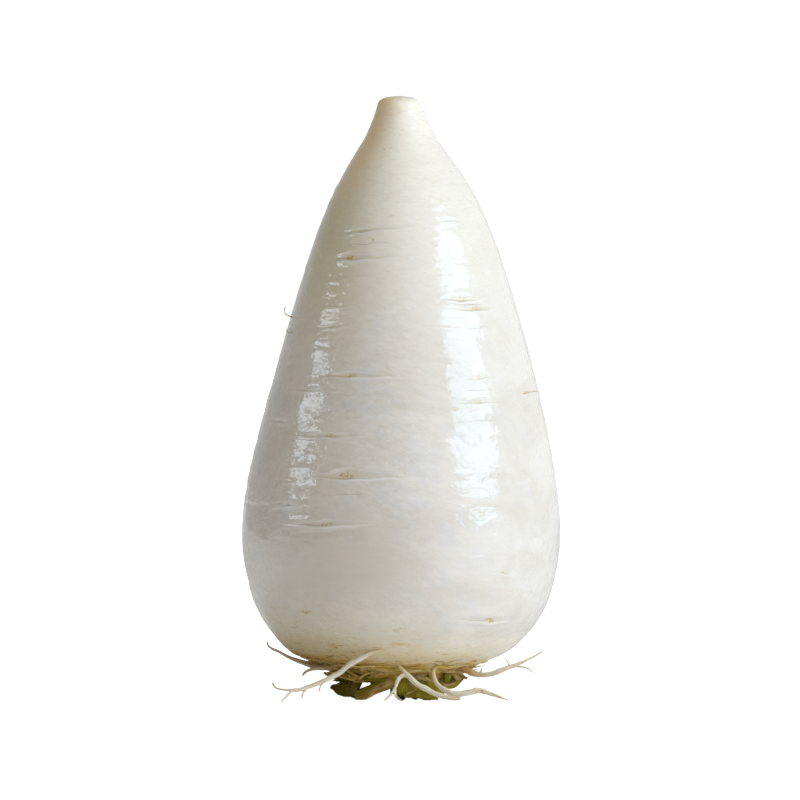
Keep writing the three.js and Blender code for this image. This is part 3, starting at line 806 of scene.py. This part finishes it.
# The straps of each leaf stalk. The front ones follow what can be seen of them. Each has its points from the
# crown down, its direction across, its widths and its thicknesses. Then come how it bows, its ribs and their
# depth, how ragged and how hollow its cut end is, and what differs from strap's usual values.
STALKS = {
    "leaf_stalk_front_left": [
        ([(-0.8, -18.5, 11.5), (-3, -21, 7.6), (-9, -20.8, 4.7), (-13.6, -19.8, 2.4), (-16.9, -19, 1)],
         (0.28, 0.35, 0.9), [5.2, 4.6, 4.4, 4.8, 5], [3.6, 3.2, 3, 3, 2.6], (0.5, 4, 0.16, 0.5, 0.5),
         {"seed": 1, "husk": 1.1}),
        ([(1.5, -21, 9.6), (-4, -21.2, 9), (-10.5, -20.2, 8.6), (-15.5, -17.6, 8.9)],
         (0.05, 0.2, 1), [3.4, 4, 3.8, 3.2], [1.6, 1.8, 1.8, 1.6], (0.4, 3, 0.18, 0.2, 0.2), {"seed": 2}),
    ],
    "leaf_stalk_front": [
        ([(3.2, -18, 11), (3, -20.8, 8), (2.6, -22.2, 4.2), (2.2, -22.6, 1.1)],
         (1, 0.05, 0), [4, 6.2, 8.6, 8.2], [3.2, 3.2, 3.2, 3.4], (0.9, 5, 0.26, 0.5, 1.6), {"seed": 3}),
        ([(6.6, -22.6, 4.9), (4.6, -23.8, 3.6), (1.8, -24.6, 2.4)],
         (0.3, 0.1, 1), [0.7, 0.9, 0.6], [0.5, 0.6, 0.5], (0, 2, 0.05, 0.1, 0.1),
         {"seed": 4, "husk": 3, "rows": 24, "columns": 20}),
        ([(1.8, -22.6, 9.6), (5.4, -23.8, 9), (9.6, -24.2, 8), (12.4, -23.4, 6.6)],
         (0.1, 0.35, 1), [1.2, 2, 1.5, 0.5], [0.5, 0.6, 0.5, 0.3], (0.1, 3, 0.12, 0.8, 0.1),
         {"seed": 18, "husk": 3, "rows": 30, "columns": 24}),
        ([(2.6, -24, 6.6), (5.6, -24.6, 5.2), (8.4, -24.6, 3.8)],
         (0.3, 0.2, 1), [0.5, 1, 0.5], [0.4, 0.6, 0.4], (0, 2, 0.05, 0.2, 0.1),
         {"seed": 19, "husk": 3, "rows": 24, "columns": 20}),
    ],
    "leaf_stalk_front_right": [
        ([(6.5, -17, 10.5), (7.6, -19.6, 6.8), (9.8, -21, 3.6), (12.3, -21.6, 1)],
         (0.9, 0.1, 0.45), [6.6, 7.2, 7.4, 7], [3.4, 3.4, 3.2, 3], (0.8, 6, 0.24, 0.7, 0.7), {"seed": 5}),
        ([(1.4, -21.4, 2.2), (0.5, -23.6, 1.7), (-0.1, -25.4, 1.35)],
         (1, 0, 0.1), [3, 3.2, 3.2], [2.2, 2.4, 2.4], (0.2, 3, 0.1, 0.3, 1.8),
         {"seed": 17, "rows": 20, "columns": 32}),
        ([(2.2, -22.6, 2.4), (6.2, -23.4, 2.2), (10.5, -23.2, 1.5), (14, -22.4, 0.9)],
         (0, 0.5, 1), [2, 3, 2.8, 1.6], [1.6, 2, 1.9, 1.3], (0.2, 4, 0.2, 0.3, 0.3), {"seed": 6}),
    ],
    "leaf_stalk_right_short": [
        ([(15.8, -11, 12.2), (16.9, -13.8, 9.4), (17.9, -15.9, 6.9)],
         (0.92, 0.38, 0.1), [9.4, 10, 8.6], [5.2, 6.2, 5.4], (0.4, 5, 0.22, 0.7, 1.2),
         {"seed": 7, "pith": 1, "husk": 3}),
        ([(17.8, -17.6, 10.6), (17.4, -19.2, 8.6), (16.9, -19.2, 6.6)],
         (1, 0.2, 0.1), [1.6, 2.7, 1.6], [1.2, 1.6, 1], (0.1, 3, 0.1, 0.2, 0.1), {"seed": 8, **SMALL}),
        ([(13.2, -17.6, 6.2), (16.4, -19.6, 5.2), (20, -19.2, 5.5), (23, -16.6, 7.6)],
         (0, -0.5, -1), [1.4, 1.9, 2, 0.9], [1, 1.4, 1.4, 0.8], (0.2, 3, 0.12, 0.3, 0.1),
         {"seed": 20, "husk": 1.2}),
        ([(18.8, -18.2, 9.9), (20.8, -18.4, 8.2), (22.9, -16.4, 7.4)],
         (0.2, 0.3, 1), [1, 1.8, 0.8], [0.8, 1.2, 0.7], (0.1, 2, 0.1, 0.3, 0.1),
         {"seed": 21, "husk": 3, **SMALL}),
        ([(13, -18.4, 10.8), (17.4, -19.6, 11.2), (22.4, -17.6, 11), (26.4, -18.6, 10.2)],
         (0, 0.3, 1), [1.4, 2.4, 2.6, 1.4], [0.8, 1, 1.6, 1.2], (0.1, 3, 0.14, 0.5, 0.1),
         {"seed": 22, "husk": 3, "rows": 40, "columns": 24}),
        ([(21.8, -14.5, 9.2), (23.6, -15.6, 8.2), (24.9, -15.8, 7.8)],
         (0.3, 0.9, 0.2), [2.6, 1.8, 1], [1.6, 1.2, 0.8], (0.2, 3, 0.1, 0.2, 0.1),
         {"seed": 23, "husk": 3}),
    ],
    "leaf_stalk_back_right": [
        ([(12.2, 12.6, 11), (12.9, 14.8, 7), (12.2, 15.6, 3.4), (11.4, 15.8, 0.8)],
         flat_direction(52), [11.6, 10.2, 9.8, 9.6], [5, 4.6, 4.6, 4.4],
         (1.3, 6, 0.28, 0.6, 1.6), {"seed": 9}),
    ],
    "leaf_stalk_back": [
        ([(2.6, 16.2, 11), (2.6, 18.6, 7), (2.2, 19.6, 3.6), (1.6, 20.2, 0.8)],
         flat_direction(86), [10.6, 9.2, 8.8, 8.6], [5, 4.6, 4.6, 4.2],
         (1.1, 5, 0.28, 0.6, 1.2), {"seed": 10}),
    ],
    "leaf_stalk_back_short": [
        ([(-7, 15.2, 11), (-7.7, 17.4, 7.6), (-8.1, 18.6, 4.9), (-8.3, 19, 3.2)],
         flat_direction(114), [9.8, 8.8, 8.2, 7.6], [5, 4.6, 4.6, 4.2],
         (0.8, 5, 0.25, 0.7, 1.8), {"seed": 11}),
    ],
    "leaf_stalk_back_left": [
        ([(-15.8, 8, 11), (-18.4, 8.8, 7.4), (-19.8, 9.2, 3.8), (-20.4, 9.4, 0.8)],
         flat_direction(155), [11.8, 10.2, 9.8, 9.4], [5, 4.4, 4.2, 4],
         (1.4, 6, 0.28, 0.6, 1.2), {"seed": 12}),
    ],
    "leaf_stalk_left_curled": [
        ([(-15.4, -12.6, 11.5), (-16.8, -14.4, 7.6), (-18, -15, 4), (-19.2, -15, 1)],
         (0.12, 1, 0.05), [9, 8.6, 8, 7.2], [4.6, 5, 5.2, 4.8], (0.5, 5, 0.25, 0.5, 0.5), {"seed": 13}),
        ([(-16.5, -17, 3.4), (-19.8, -17.4, 3.1), (-22.6, -17.2, 3.6), (-24.6, -16.6, 4.4),
          (-25.8, -15.8, 4.6)],
         (0.1, 0.1, 1), [4.6, 4.4, 4.5, 3.9, 1.8], [3.4, 3.6, 3, 2.4, 1.4], (0.5, 5, 0.3, 0.5, 0.2),
         {"seed": 14}),
        ([(-23.8, -17.6, 5.6), (-22, -18.2, 5.9), (-20.6, -18, 5.2)],
         (0.1, 0.1, 1), [1, 1.5, 0.8], [0.8, 1, 0.6], (0.1, 2, 0.1, 0.2, 0.1), {"seed": 16, **SMALL}),
        ([(-12.5, -17.4, 10.6), (-17.5, -17.4, 9), (-21.5, -16.4, 7.7), (-24.3, -15.6, 7)],
         (0.1, 0.3, 1), [5.2, 5.4, 3.4, 1], [1.8, 1.7, 1.3, 0.6], (0.3, 3, 0.14, 0.2, 0.1), {"seed": 15}),
    ],
}
# The stalks of the heart: place, which way the outer face looks, and width.
HEART_PLACES = [
    (2.4, -4.4, -90, 8), (6.6, -0.6, -8, 7), (3.6, 3.9, 75, 8), (-1.6, 2.2, 150, 7), (-1.4, -1.9, 215, 6),
]


def heart_straps():
    """Young leaves in the middle of the crown, cut off level with the rest."""
    straps = []
    for index, (x, y, azimuth, width) in enumerate(HEART_PLACES):
        foot = 0.9 + 0.5 * (index % 3)
        path = [(x * 0.7 + 0.7, y * 0.7, 11), (x, y, 6.5), (x * 1.08, y * 1.08, foot)]
        straps.append((path, flat_direction(azimuth), [width, width * 0.92, width * 0.8], [2.6, 2.4, 2.2],
                       (1.2, 4, 0.18, 0.6, 0.6), {"seed": 30 + index, "rows": 30, "columns": 36}))
    return straps


def add_stalks():
    for name, straps in (STALKS | {"heart_stalks": heart_straps()}).items():
        vertices, faces, attributes = joined([strap(*shape, *ends, **rest) for *shape, ends, rest in straps])
        vertices[:, 2] = np.maximum(vertices[:, 2], 0.02)
        piece = make_object(name + "_look", vertices, faces, attributes)
        dark = name in DARK_STALKS
        piece.data.materials.append(DARK if dark else PALE)
        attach(piece, "root")
        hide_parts(name)


add_stalks()

# ---- dry scales of the crown

# Bands of scales from the stalks outwards: how many, radii, heights of a scale, and how much steeper it
# stands than the crown below it.
SCALE_BANDS = [(44, 20, 25.5, 2.2, 5, 1.6), (36, 24, 28.5, 1.4, 3.2, 0.5), (40, 27.5, 34, 0.8, 2.4, 0)]
FIBRE_COUNT = 620
CROWN_SLOPE = root_outline()[:ROOT_ROWS // 4]
# Tan straws at the edge of the crown: from which azimuth to which, and how many.
STRAWS = [(264, 304, 26), (206, 236, 20), (304, 330, 8)]
# The side of the crown where its scales and fibres are painted paler, as painted light on the lit side, in
# degrees.
PAINTED_LIGHT_SIDE = 300
# Torn leaf bases that hang from the left of the crown: from which azimuth to which, and how many.
LEAF_BASES = (203, 238, 22)
# Tan strips of dry leaf between the front stalks: points, width, and how brown they are.
DRY_STRIPS = [
    ([(-16.5, -19.2, 11.6), (-20.2, -20.8, 10.8), (-23.4, -20.6, 9.8)], 1.3, 0),
    ([(-9, -22.4, 11.6), (-12.6, -23.6, 10.2), (-15.4, -23.2, 8.4)], 1.2, 0.1),
    ([(-5.5, -23.4, 11.2), (-9, -24.4, 9.8), (-12.4, -24.2, 8.6)], 0.9, 0.6),
]
STRIP_ACROSS = (-0.5, 0, 0.85)
# Frayed fibres that stand off the crown: azimuth, and how far they drop.
FRAYED_FIBRES = [
    (196, 0.6), (201, 1.5), (205, 2.4), (209, 1), (214, 2), (219, 1.2), (330, 1.6), (342, 0.8),
]
# The colours of a pale and of a brown scale, each dark and light, and of its fibres, as linear RGB.
PALE_SCALE = ((0.8, 0.54, 0.125), (0.97, 0.78, 0.37))
BROWN_SCALE = ((0.27, 0.18, 0.012), (0.5, 0.34, 0.055))
SCALE_FIBRE = (0.2, 0.11, 0.01)


def off_crown(azimuth, radius, drop):
    """A point below the crown, at an azimuth in degrees and a radius, this many mm off its surface."""
    height = np.interp(radius, CROWN_SLOPE[:, 0], CROWN_SLOPE[:, 1])
    turn = math.radians(azimuth)
    return (radius * math.cos(turn) - 1, radius * math.sin(turn), height - drop)


def painted_light_paleness(azimuth):
    """How much painted light a scale gets, from 1 on the lit side where it is painted palest to -1 opposite.
    """
    return math.cos(math.radians(azimuth - PAINTED_LIGHT_SIDE))


def fibre_strand(path, thick, seed, shade):
    """A fine fibre, with the attributes of a strap."""
    vertices, faces, attributes = strand(path, [thick, thick, 0.2], seed, 6, 0.8)
    values = {"cut": 0, "pith": shade, "husk": 0}
    fields = {name: np.full(len(vertices), value) for name, value in values.items()}
    return vertices, faces, attributes | fields


def leaf_scales(draw):
    """Papery remains of old leaf bases, which lie round the crown."""
    for count, near, far, low, high, steep in SCALE_BANDS:
        for index in range(count):
            middle = index * 360 / count + draw.uniform(-6, 6)
            span = draw.uniform(5, 17)
            radius = draw.uniform(near, far)
            drops = draw.uniform(-0.1, 0.5, 4)
            path = [off_crown(middle + (k / 1.5 - 1) * span, radius + draw.uniform(-1.4, 1.4), drops[k])
                    for k in range(4)]
            inner, outer = (np.array(off_crown(middle, radius + step, 0)) for step in (-1, 1))
            across = inner - outer - np.array([0, 0, 2 * steep])
            width = draw.uniform(low, high)
            # Scales are painted paler on the lit side: painted light.
            shade = (34 - radius) / 7 + draw.uniform(-0.5, 0.3) - 0.75 * painted_light_paleness(middle)
            yield strap(path, across, [0.4, width, width * 0.8, 0.3], [0.12, 0.22, 0.22, 0.12], 0.1, 3, 0.05,
                        0.8, 0.05, 20, 12, seed=60 + index, pith=min(max(shade, 0), 1))


def loose_fibres(draw):
    """Fine fibres among the scales, and shorter ones that lie flat on the skin further out."""
    for index in range(FIBRE_COUNT):
        middle = draw.uniform(0, 360)
        radius = 21 + 23 * draw.uniform(0, 1) ** 1.9
        outside = radius > 32
        span = draw.uniform(0.8, 2.2) if outside else draw.uniform(2, 9)
        slant = draw.uniform(-0.7, 0.7) if outside else draw.uniform(-4, 4)
        lift, stray, thick = (0.04, 0.3, 0.26) if outside else (0.6, 1, 0.6)
        path = [off_crown(middle + k * span, radius + slant * k + draw.uniform(-stray, stray),
                          draw.uniform(-0.1, lift)) for k in (-1, -1 / 3, 1 / 3, 1)]
        # Fibres too are painted paler on the lit side.
        shade = draw.uniform(-0.5, 1.2) - 0.4 * painted_light_paleness(middle)
        yield fibre_strand(path, draw.uniform(0.16, thick), 200 + index, min(max(shade, 0), 1))


def straws(draw):
    """Tan straws that bow out from the edge of the crown."""
    for start, end, count in STRAWS:
        for index in range(count):
            middle, radius = draw.uniform(start, end), draw.uniform(29, 38)
            span, slant, arch = draw.uniform(2, 5), draw.uniform(-1.8, 1.8), draw.uniform(-0.6, 1.2)
            path = [off_crown(middle + k * span, radius + slant * k + arch * (1 - k * k), 0.15 - 0.1 * k * k)
                    for k in (-1, -0.4, 0.3, 1)]
            yield fibre_strand(path, draw.uniform(0.3, 0.6), 800 + index, draw.uniform(0.1, 0.45))


def torn_leaves(draw):
    """Torn leaf bases and dry strips, which hang below the crown."""
    first, last, count = LEAF_BASES
    for index in range(count):
        azimuth, reach, width = draw.uniform(first, last), draw.uniform(26, 33), draw.uniform(0.8, 2.4)
        drop = 1.6 + 0.32 * (34 - reach) + draw.uniform(-0.8, 0.5)
        path = [off_crown(azimuth, 19, 0.4), off_crown(azimuth - 2, 23, 0.5 * drop + 0.3),
                off_crown(azimuth + draw.uniform(-7, 0), reach, drop)]
        shade = min(max(draw.uniform(-0.3, 1.6), 0), 1)
        yield strap(path, STRIP_ACROSS, [width, width, width * 0.5], [0.5, 0.5, 0.3], 0.2, 4, 0.12, 1.2, 0.1,
                    26, 20, seed=540 + index, pith=shade)
    for index, (path, width, shade) in enumerate(DRY_STRIPS):
        yield strap(path, STRIP_ACROSS, [width, width, width * 0.7], [0.5, 0.6, 0.4], 0.2, 4, 0.12, 1.4, 0.1,
                    30, 24, seed=500 + index, pith=shade)


def frayed_fibres():
    """Loose ends that stand off the crown."""
    for index, (azimuth, drop) in enumerate(FRAYED_FIBRES):
        path = [off_crown(azimuth + 2 * k, 24 + 3.2 * k, 0.2 + drop * k / 2) for k in range(4)]
        yield fibre_strand(path, 0.6, 400 + index, 0.3)


def scale_material():
    s = new_shader("dry_crown_scale")
    fibres = s.fibres(3, 3, 1.6)
    blotch = s.smooth(s.noise(170, 4, (1, 1, 2), 0.6), 0.35, 0.65)
    color = s.mix(s.attribute("pith"), s.mix(blotch, *PALE_SCALE), s.mix(blotch, *BROWN_SCALE))
    color = s.mix(s.smooth(fibres, 0.54, 0.7, 0, 0.55), color, SCALE_FIBRE)
    return s.finish(color, 0.6, s.bump(fibres, 0.25), **{"Specular IOR Level": 0.12})


def add_crown_scales():
    draw = np.random.default_rng(SEED + 50)
    drawn = [part for kind in (leaf_scales, loose_fibres, straws, torn_leaves) for part in kind(draw)]
    vertices, faces, attributes = joined(drawn + list(frayed_fibres()))
    piece = make_object("crown_scales", vertices, faces, attributes)
    piece.data.materials.append(scale_material())
    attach(piece, "root")


add_crown_scales()

# ---- rootlets

# Each rootlet: how grey-tan it is, then its strands as widths and points from the root to the tip.
ROOTLETS = {
    "rootlet_front_left_long": (0.05, [
        ([0.5, 1.2, 1.9, 2.2, 2.2, 1.9, 1.7, 1.3, 0.9, 0.6],
         [(-4.6, -44.1, 20.8), (-8.6, -44.6, 20), (-12.6, -43.9, 18.4), (-17.8, -42, 15.5),
          (-24.9, -40.5, 10.3), (-34.1, -41, 6.4), (-38.4, -42, 5), (-45.6, -43, 5.6), (-48, -41, 7.8)]),
        ([0.9, 0.75, 0.5], [(-40.4, -42.6, 4.9), (-42.7, -46.5, 2.9), (-44.4, -50.5, 1)]),
        ([0.9, 0.7, 0.5], [(-34.4, -41, 6.2), (-36.6, -42.5, 3.9), (-36.9, -44, 1.8)]),
        ([0.9, 0.7, 0.5], [(-28.6, -40.2, 8.6), (-30.1, -41, 6.4), (-30.7, -42, 4.4)]),
    ]),
    "rootlet_left_upper": (0.7, [
        ([2.2, 1.8, 1.7, 1.3, 0.9, 0.6],
         [(-25, -12, 13.8), (-32.5, -15, 13.1), (-39.8, -16, 15), (-45.9, -15, 17.7), (-49.4, -13.5, 19.6),
          (-50.2, -12, 21.5)]),
        ([1.6, 1.4, 0.9], [(-26, -13.5, 12.4), (-33.5, -16.4, 12.4), (-40.4, -16.8, 15.4)]),
    ]),
    "rootlet_left_small": (0.65, [
        ([2, 1.7, 1.3, 0.8],
         [(-23.5, -15.5, 11.6), (-31.2, -20, 11.7), (-35, -22.4, 11), (-37, -23.3, 9.2)]),
    ]),
    "rootlet_front_centre": (0.1, [
        ([0.8, 1.4, 2.2, 2.4, 2.3, 2, 1.4],
         [(-2.2, -34.5, 15.6), (0.9, -34.4, 11.9), (4.3, -34.7, 8.3), (9.3, -36.2, 5), (14.3, -38, 2.9),
          (18.5, -39.2, 2), (22.4, -40, 1.6)]),
        ([1.7, 1.5, 1.1, 0.9, 0.5],
         [(1.7, -34.2, 10.6), (-0.9, -34.4, 8.9), (-2.1, -35.4, 6), (-3.8, -37.4, 3.2), (-6.4, -39.6, 1)]),
        ([1.1, 0.8, 0.5], [(-2.3, -35.8, 5.2), (-1.9, -37.6, 2.5), (0.8, -40.4, 1)]),
        ([1.2, 0.9, 0.5], [(3, -34.4, 9.2), (4.7, -34, 7), (7.4, -34.6, 5.7)]),
    ]),
    "rootlet_front_right": (0.2, [
        ([0.6, 1.2, 1.6, 2.3, 2.2, 2, 1.3, 0.4],
         [(14.6, -30, 14.2), (12, -32.2, 11.2), (13.8, -33, 6.3), (18.6, -34, 3.5), (24.4, -34.4, 3.5),
          (28.9, -34.7, 4.4), (34, -35.4, 3.2), (40.4, -36.5, 0.9)]),
    ]),
    "rootlet_right_upper": (0.3, [
        ([2.3, 2.1, 1.9, 1.7, 1.2, 0.8, 0.3],
         [(23, -17.5, 11.8), (27.5, -20.8, 9.9), (33.1, -23.4, 9.9), (40, -24.4, 12.4), (47, -24, 15.2),
          (51.4, -23, 17.5), (54, -22.6, 19.3)]),
        ([0.9, 0.7, 0.4], [(41.2, -24.6, 12.9), (46.5, -25.4, 12.5), (49.9, -27, 10.2)]),
        ([0.8, 0.6, 0.4], [(40.6, -24.4, 12.7), (39.6, -23.8, 15), (37.8, -23, 16.1)]),
        ([0.9, 0.5], [(29.5, -21.8, 10.2), (30.2, -22.4, 12.2)]),
    ]),
    "rootlet_back_right": (0.2, [
        ([2.1, 2.2, 1.7, 1.2, 0.6],
         [(4, 33, 16), (8.5, 38.6, 12.6), (14, 45, 9.8), (19, 50.5, 8.4), (21.6, 55.5, 10)]),
        ([1.1, 0.8, 0.4], [(14, 45, 9.8), (14.6, 49, 7.2), (13.4, 53, 5.2)]),
    ]),
    "rootlet_back_left": (0.45, [
        ([2, 2, 1.6, 1.1, 0.6],
         [(-7, 38, 19.5), (-12.4, 42.6, 14), (-16.4, 46.8, 9), (-18.6, 51.4, 5), (-15.6, 55.6, 3.2)]),
        ([1, 0.8, 0.4], [(-16.4, 46.8, 9), (-20, 49, 9.6), (-22.4, 52, 11.6)]),
    ]),
    "rootlet_back_small": (0.5, [
        ([1.6, 1.5, 1.1, 0.6], [(14, 27, 13.6), (17, 32.6, 9.4), (15.6, 38, 5.6), (12.2, 42, 3)]),
    ]),
    "hair_left_hooked": (0.45, [
        ([0.6, 0.5, 0.42, 0.3],
         [(-40, -7, 142.4), (-43.1, -5.6, 143.5), (-43.7, -5, 145.4), (-42.8, -5.4, 146.6)]),
    ]),
    "hair_left_low": (0.6, [
        ([0.6, 0.45, 0.3], [(-38.6, -17, 137), (-42, -13, 137), (-43.1, -10.6, 138.3)]),
    ]),
    "hair_right": (0.4, [
        ([0.6, 0.5, 0.3], [(44.6, -24, 114.4), (49.2, -20.6, 115.3), (52.4, -17, 114.8)]),
    ]),
}
ROOTLET_VOXEL = 0.16
HAIR_VOXEL = 0.1
# The colours of a pale and of a worn one, each dark and light, then of their tips, blotches and starts.
PALE_ROOTLET = ((0.9, 0.82, 0.63), (0.98, 0.955, 0.87))
WORN_ROOTLET = ((0.36, 0.26, 0.11), (0.6, 0.48, 0.28))
ROOTLET_TIP = (0.56, 0.43, 0.25)
ROOTLET_BLOTCH = (0.58, 0.44, 0.24)
ROOTLET_START = (0.66, 0.43, 0.13)


def rootlet_material():
    s = new_shader("rootlet_skin")
    along, tone = s.attribute("along"), s.attribute("tone")
    fibres = s.fibres(3, 5, 1.5)
    streaked = s.smooth(fibres, 0.38, 0.62)
    blotch = s.noise(260, 4, (1, 1, 1), 0.6)
    color = s.mix(tone, s.mix(streaked, *PALE_ROOTLET), s.mix(streaked, *WORN_ROOTLET))
    tip = s.smooth(s.plus(along, s.times(blotch, 0.5)), 0.8, 1.4, 0, 0.8)
    color = s.mix(tip, color, ROOTLET_TIP)
    color = s.mix(s.smooth(blotch, 0.56, 0.8, 0, 0.5), color, ROOTLET_BLOTCH)
    from_crown = s.minus(s.plus(along, s.times(blotch, 0.15)), s.times(tone, 0.3))
    color = s.mix(s.smooth(from_crown, 0.3, 0.06, 0, 0.85), color, ROOTLET_START)
    normal = s.bump(s.noise(1400, 3), 0.08, s.bump(fibres, 0.25))
    flesh = {"Coat Weight": 0.15, "Subsurface Weight": 0.25, "Subsurface Radius": (1, 0.8, 0.5),
             "Subsurface Scale": 0.8 * MM}
    return s.finish(color, s.smooth(blotch, 0.3, 0.7, 0.35, 0.55), normal, **flesh)


def add_rootlets():
    skin = rootlet_material()
    for number, (name, (tone, strands)) in enumerate(ROOTLETS.items()):
        parts = []
        for index, (widths, points) in enumerate(strands):
            vertices, faces, attributes = strand(points, widths, number * 5 + index)
            attributes["tone"] = np.full(len(vertices), tone)
            if index > 0:
                attributes["along"] = 0.3 + 0.7 * attributes["along"]
            parts.append((vertices, faces, attributes))
        voxel = HAIR_VOXEL if name.startswith("hair") else ROOTLET_VOXEL
        piece = fused(name + "_look", parts, voxel)
        piece.data.materials.append(skin)
        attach(piece, "root")
        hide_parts(name)


add_rootlets()

# ---- stage, camera and lights

CAMERA_DISTANCE = 4000
CAMERA_HEIGHT = 272.7
PICTURE_CENTRE = (-0.4, 0, 111.3)
PICTURE_WIDTH = 300
SENSOR = 36
ROOM_LIGHT = 0.03
# Soft brighter parts of the room: towards which side, how bright and how narrow.
ROOM_LOBES = [
    ((1, -0.2, 0.3), 0.15, 3),
    ((0.42, -0.45, 1), 0.86, 2.5),
    ((0.4, -1, 0.25), 0.36, 6),
    ((0.2, 1, 0.3), 0.46, 2),
    ((-1, 0.5, 0), 0.2, 4),
    ((0.5, 0.85, 0.1), 0.4, 8),
    ((-0.4, 0.9, -0.3), 0.34, 12),
    ((-0.5, -0.3, 1), 0.05, 4),
]
# The room's tint from its warm left side to its right side, and the cooler one behind the left of the radish.
RIGHT_SIDE = (1, 0.3, 0)
REAR_LEFT = (-0.5, 0.85, -0.3)
WARM_SIDE_TINT = (1, 0.89, 0.75)
RIGHT_SIDE_TINT = (1, 0.99, 0.955)
REAR_LEFT_TINT = (0.94, 0.98, 1.02)
BACKDROP = 1.1
FLOOR_RADIUS = 3500
FLOOR_CORNERS = 96
# The floor is white to the camera. To the radish it glows a little, more so far off, and it is bright in the
# reflections at the left.
FLOOR_WHITE = 0.95
FLOOR_GLOW = 0.105
FAR_FLOOR_GLOW = 0.35
FLOOR_SHEEN = (0.05, 0.5)
FLOOR_SHEEN_TINT = (0.84, 0.98, 1.12)
# Upright area lights: name, shape, azimuth, distance, lowest and highest point, width, radiance, colour, and
# whether it only shows in reflections or else only lights. Azimuth 0 is the viewer's side, 90 the right.
SOFTBOXES = [
    ("key_softbox", "RECTANGLE", 62, 1000, 40, 800, 770, 2.6, (0.925, 0.99, 1.075), False),
    ("key_glint", "ELLIPSE", 61, 980, 180, 960, 700, 2.45, (0.68, 1, 1.34), True),
    ("left_strip", "RECTANGLE", -84, 1000, 300, 505, 420, 2.8, (0.88, 1, 1.14), True),
]


def floor_material():
    s = new_shader("pale_floor")
    rays = s.add("ShaderNodeLightPath").outputs
    seen, mirrored = rays["Is Camera Ray"], rays["Is Glossy Ray"]
    away = s.add("ShaderNodeVectorMath", {0: s.coordinates}, operation="LENGTH").outputs["Value"]
    leftward = s.math("DIVIDE", s.add("ShaderNodeSeparateXYZ", {0: s.coordinates}).outputs[0], away)
    sheen = s.times(s.smooth(leftward, -0.5, -0.95, *FLOOR_SHEEN), s.smooth(away, 0.09, 0.2), mirrored)
    strength = s.plus(s.smooth(away, 1, 2.6, FLOOR_GLOW, FLOOR_GLOW + FAR_FLOOR_GLOW), sheen)
    strength = s.largest(s.times(seen, FLOOR_WHITE), strength)
    tint = s.mix(mirrored, (1, 1, 1), FLOOR_SHEEN_TINT)
    diffuse = s.add("ShaderNodeBsdfDiffuse", {"Color": (0.8, 0.79, 0.77, 1)}).outputs[0]
    glow = s.add("ShaderNodeEmission", {"Color": tint, "Strength": strength}).outputs[0]
    both = s.add("ShaderNodeAddShader", {0: diffuse, 1: glow}).outputs[0]
    s.add("ShaderNodeOutputMaterial", {"Surface": both})
    return s.owner


def build_floor():
    turn = np.arange(FLOOR_CORNERS) * 2 * math.pi / FLOOR_CORNERS
    rim = FLOOR_RADIUS * np.stack([np.cos(turn), np.sin(turn), np.zeros(FLOOR_CORNERS)], axis=1)
    floor = make_object("floor", rim, [tuple(range(FLOOR_CORNERS))])
    floor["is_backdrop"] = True
    floor.data.materials.append(floor_material())


def build_room():
    """The room as the radish sees it, with a white backdrop for the camera."""
    s = Shader(bpy.data.worlds.new("studio"))
    direction = s.add("ShaderNodeTexCoord").outputs["Generated"]
    strength = ROOM_LIGHT
    for towards, amount, sharpness in ROOM_LOBES:
        facing = s.largest(s.dot(direction, Vector(towards).normalized()), 0)
        strength = s.plus(strength, s.times(s.math("POWER", facing, sharpness), amount))
    rightward = s.smooth(s.dot(direction, RIGHT_SIDE), -0.75, 0.3)
    tint = s.mix(rightward, WARM_SIDE_TINT, RIGHT_SIDE_TINT)
    rearward = s.smooth(s.dot(direction, Vector(REAR_LEFT).normalized()), 0.7, 0.95)
    tint = s.mix(rearward, tint, REAR_LEFT_TINT)
    fill = s.add("ShaderNodeBackground", {"Color": tint, "Strength": strength}).outputs[0]
    white = s.add("ShaderNodeBackground", {"Color": (1, 1, 1, 1), "Strength": BACKDROP}).outputs[0]
    seen = s.add("ShaderNodeLightPath").outputs["Is Camera Ray"]
    both = s.add("ShaderNodeMixShader", {0: seen, 1: fill, 2: white}).outputs[0]
    s.add("ShaderNodeOutputWorld", {"Surface": both})
    bpy.context.scene.world = s.owner


def build_camera():
    data = bpy.data.cameras.new("camera")
    camera = bpy.data.objects.new("camera", data)
    bpy.context.scene.collection.objects.link(camera)
    eye = Vector((PICTURE_CENTRE[0], -CAMERA_DISTANCE, CAMERA_HEIGHT)) * MM
    look = Vector(PICTURE_CENTRE) * MM - eye
    camera.location = eye
    camera.rotation_euler = look.to_track_quat("-Z", "Y").to_euler()
    data.sensor_width = SENSOR
    data.lens = SENSOR * look.length / (PICTURE_WIDTH * MM)
    data.clip_start, data.clip_end = 0.1, 50
    bpy.context.scene.camera = camera


def add_softbox(name, shape, azimuth, distance, low, high, width, radiance, color, reflected):
    data = bpy.data.lights.new(name, "AREA")
    data.shape = shape
    data.size, data.size_y = width * MM, (high - low) * MM
    area = data.size * data.size_y * (math.pi / 4 if shape == "ELLIPSE" else 1)
    data.energy = 4 * radiance * area
    data.color = color
    lamp = bpy.data.objects.new(name, data)
    lamp.visible_diffuse, lamp.visible_glossy = not reflected, reflected
    bpy.context.scene.collection.objects.link(lamp)
    turn = math.radians(azimuth)
    lamp.location = Vector((math.sin(turn) * distance, -math.cos(turn) * distance, (low + high) / 2)) * MM
    towards = Vector((-lamp.location.x, -lamp.location.y, 0))
    lamp.rotation_euler = towards.to_track_quat("-Z", "Y").to_euler()


build_floor()
build_room()
build_camera()
for softbox in SOFTBOXES:
    add_softbox(*softbox)
bpy.context.scene.view_settings.view_transform = "Standard"

boxes = {"cad_box": cad_box, "visual_box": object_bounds()}
{key: [list(corner) for corner in box] for key, box in boxes.items()}
